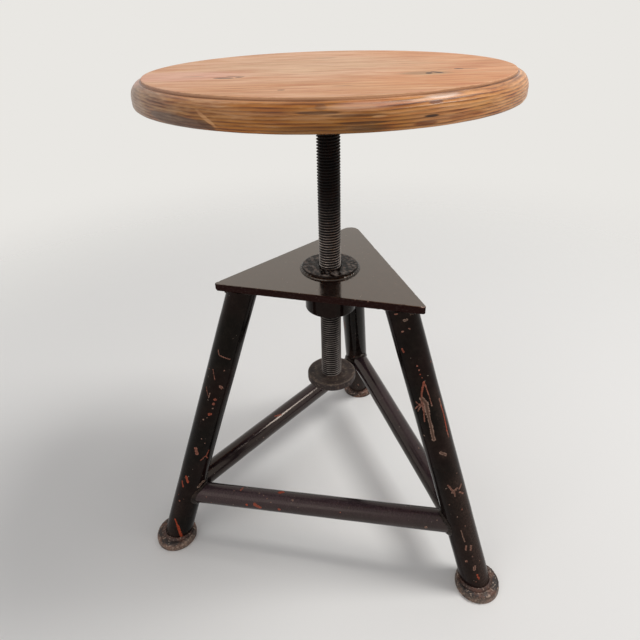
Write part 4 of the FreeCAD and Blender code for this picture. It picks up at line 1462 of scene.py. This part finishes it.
def studio_paper(colour):
    """Matt paper that ends softly in the pale air, 0.35 m to 1.7 m out, so no horizon shows."""
    material = bpy.data.materials.new("matt_studio_paper")
    tree = blank(material)
    spot = put(tree, "TexCoord").outputs["Object"]
    paper = put(tree, "BsdfPrincipled", {"Base Color": colour, "Roughness": 0.8})
    reach = put(tree, "VectorMath", {0: spot}, operation="LENGTH")
    far = put(tree, "MapRange", {"Value": reach, "From Min": 0.35, "From Max": 1.7},
              interpolation_type="SMOOTHERSTEP")
    surface = put(tree, "MixShader", {0: far, 1: paper, 2: put(tree, "BsdfTransparent")})
    put(tree, "OutputMaterial", {"Surface": surface})
    return material


def studio_air(light):
    """World that is a pale backdrop to the eye and in reflections, and a dimmer light."""
    world = bpy.data.worlds.new("studio_air")
    tree = blank(world)
    seen = 0.0
    for ray in ("Camera", "Glossy", "Transmission"):
        hit = put(tree, "LightPath").outputs[f"Is {ray} Ray"]
        seen = put(tree, "Math", {0: hit, 1: seen}, operation="MAXIMUM")
    strength = put(tree, "MapRange", {"Value": seen, "To Min": light, "To Max": 1.0})
    colour = put(tree, "Mix", {"Factor": seen, "A": tone("#f7f8fc"), "B": tone("#e9e7e3")}, **RGBA)
    background = put(tree, "Background", {"Color": colour, "Strength": strength})
    put(tree, "OutputWorld", {"Surface": background})
    return world


# Camera as fitted to the photograph: place in metres, level heading, pitch downwards and roll
# in degrees, lens in millimetres on a sensor 36 mm wide, and shift
CAMERA_PLACE = (0.1303, -0.5059, 0.6039)
CAMERA_HEADING = (-0.2835, 0.9590, 0.0)
CAMERA_PITCH = 29.43
CAMERA_ROLL = -1.84
CAMERA_LENS = 29.67
CAMERA_SHIFT = (0.0090, -0.0391)


def photo_camera():
    """Camera whose axes are its heading, pitched down and then rolled about its view."""
    data = bpy.data.cameras.new("photo_camera")
    data.sensor_width = 36.0
    data.lens = CAMERA_LENS
    data.shift_x, data.shift_y = CAMERA_SHIFT
    pitch, roll = math.radians(CAMERA_PITCH), math.radians(CAMERA_ROLL)
    forward = unit(np.array(CAMERA_HEADING)) * math.cos(pitch) - UP * math.sin(pitch)
    right = unit(np.cross(forward, UP))
    up = np.cross(right, forward)
    right, up = (right * math.cos(roll) + up * math.sin(roll),
                 up * math.cos(roll) - right * math.sin(roll))
    camera = bpy.data.objects.new("photo_camera", data)
    axes = Matrix([*zip(right, up, -forward)]).to_4x4()
    camera.matrix_world = Matrix.Translation(CAMERA_PLACE) @ axes
    return camera


class STOOL_OT_stage(bpy.types.Operator):
    """Set the floor, lamps, world and camera"""
    bl_idname = "stool.stage"
    bl_label = "Stage"

    def execute(self, context):
        scene = context.scene
        sizes = scene.stool_stage
        reach = 6.0
        corners = [(-reach, -reach, 0), (reach, -reach, 0), (reach, reach, 0), (-reach, reach, 0)]
        mesh = bpy.data.meshes.new("studio_floor")
        mesh.from_pydata(corners, [], [(0, 1, 2, 3)])
        mesh.materials.append(studio_paper(sizes.floor_colour))
        floor = bpy.data.objects.new("studio_floor", mesh)
        scene.collection.objects.link(floor)
        scene.world = studio_air(sizes.air)
        # Each lamp has a place and a size in metres, and faces the middle of the stool
        aim = Vector((0.0, 0.0, 0.3))
        lamps = (
            ("key_lamp", (1.10, 0.40, 2.17), (0.6, 1.0), sizes.key_power),
            ("fill_lamp", (-0.9, -1.9, 1.5), (1.8, 1.4), sizes.fill_power),
        )
        for name, place, size, power in lamps:
            light = bpy.data.lights.new(name, "AREA")
            light.shape = "RECTANGLE"
            light.size, light.size_y = size
            light.energy = power
            lamp = bpy.data.objects.new(name, light)
            lamp.location = place
            lamp.rotation_mode = "QUATERNION"
            lamp.rotation_quaternion = (Vector(place) - aim).to_track_quat("Z", "Y")
            scene.collection.objects.link(lamp)
        scene.camera = photo_camera()
        scene.collection.objects.link(scene.camera)
        scene.view_settings.view_transform = "Standard"
        return {"FINISHED"}


class STOOL_PT_panel(bpy.types.Panel):
    """Lists the stool's operators and settings"""
    bl_idname = "STOOL_PT_panel"
    bl_label = "Workshop Screw Stool"
    bl_space_type = "VIEW_3D"
    bl_region_type = "UI"
    bl_category = "Stool"

    def draw(self, context):
        column = self.layout.column()
        for maker in OPERATORS:
            column.operator(maker.bl_idname)
        for name, group in SETTINGS.items():
            box = self.layout.box()
            for field in group.__annotations__:
                box.prop(getattr(context.scene, name), field)


SETTINGS = {
    "stool_seat": SeatSettings,
    "stool_screw": ScrewSettings,
    "stool_frame": FrameSettings,
    "stool_stage": StageSettings,
}
OPERATORS = (
    STOOL_OT_finishes, STOOL_OT_seat, STOOL_OT_seat_mounting, STOOL_OT_screw, STOOL_OT_stop,
    STOOL_OT_bush, STOOL_OT_top_plate, STOOL_OT_legs, STOOL_OT_welds, STOOL_OT_feet,
    STOOL_OT_stretchers, STOOL_OT_stage)


def register():
    """Registers the classes and puts the settings on the scene."""
    for kind in (*SETTINGS.values(), *OPERATORS, STOOL_PT_panel):
        bpy.utils.register_class(kind)
    for name, group in SETTINGS.items():
        setattr(bpy.types.Scene, name, bpy.props.PointerProperty(type=group))


def unregister():
    """Removes the settings and the classes."""
    for name in SETTINGS:
        delattr(bpy.types.Scene, name)
    for kind in (STOOL_PT_panel, *reversed(OPERATORS), *SETTINGS.values()):
        bpy.utils.unregister_class(kind)


def main():
    register()
    for maker in OPERATORS:
        group, action = maker.bl_idname.split(".")
        if getattr(getattr(bpy.ops, group), action)() != {"FINISHED"}:
            raise RuntimeError(maker.bl_label + " could not be made")


if __name__ == "__main__":
    main()
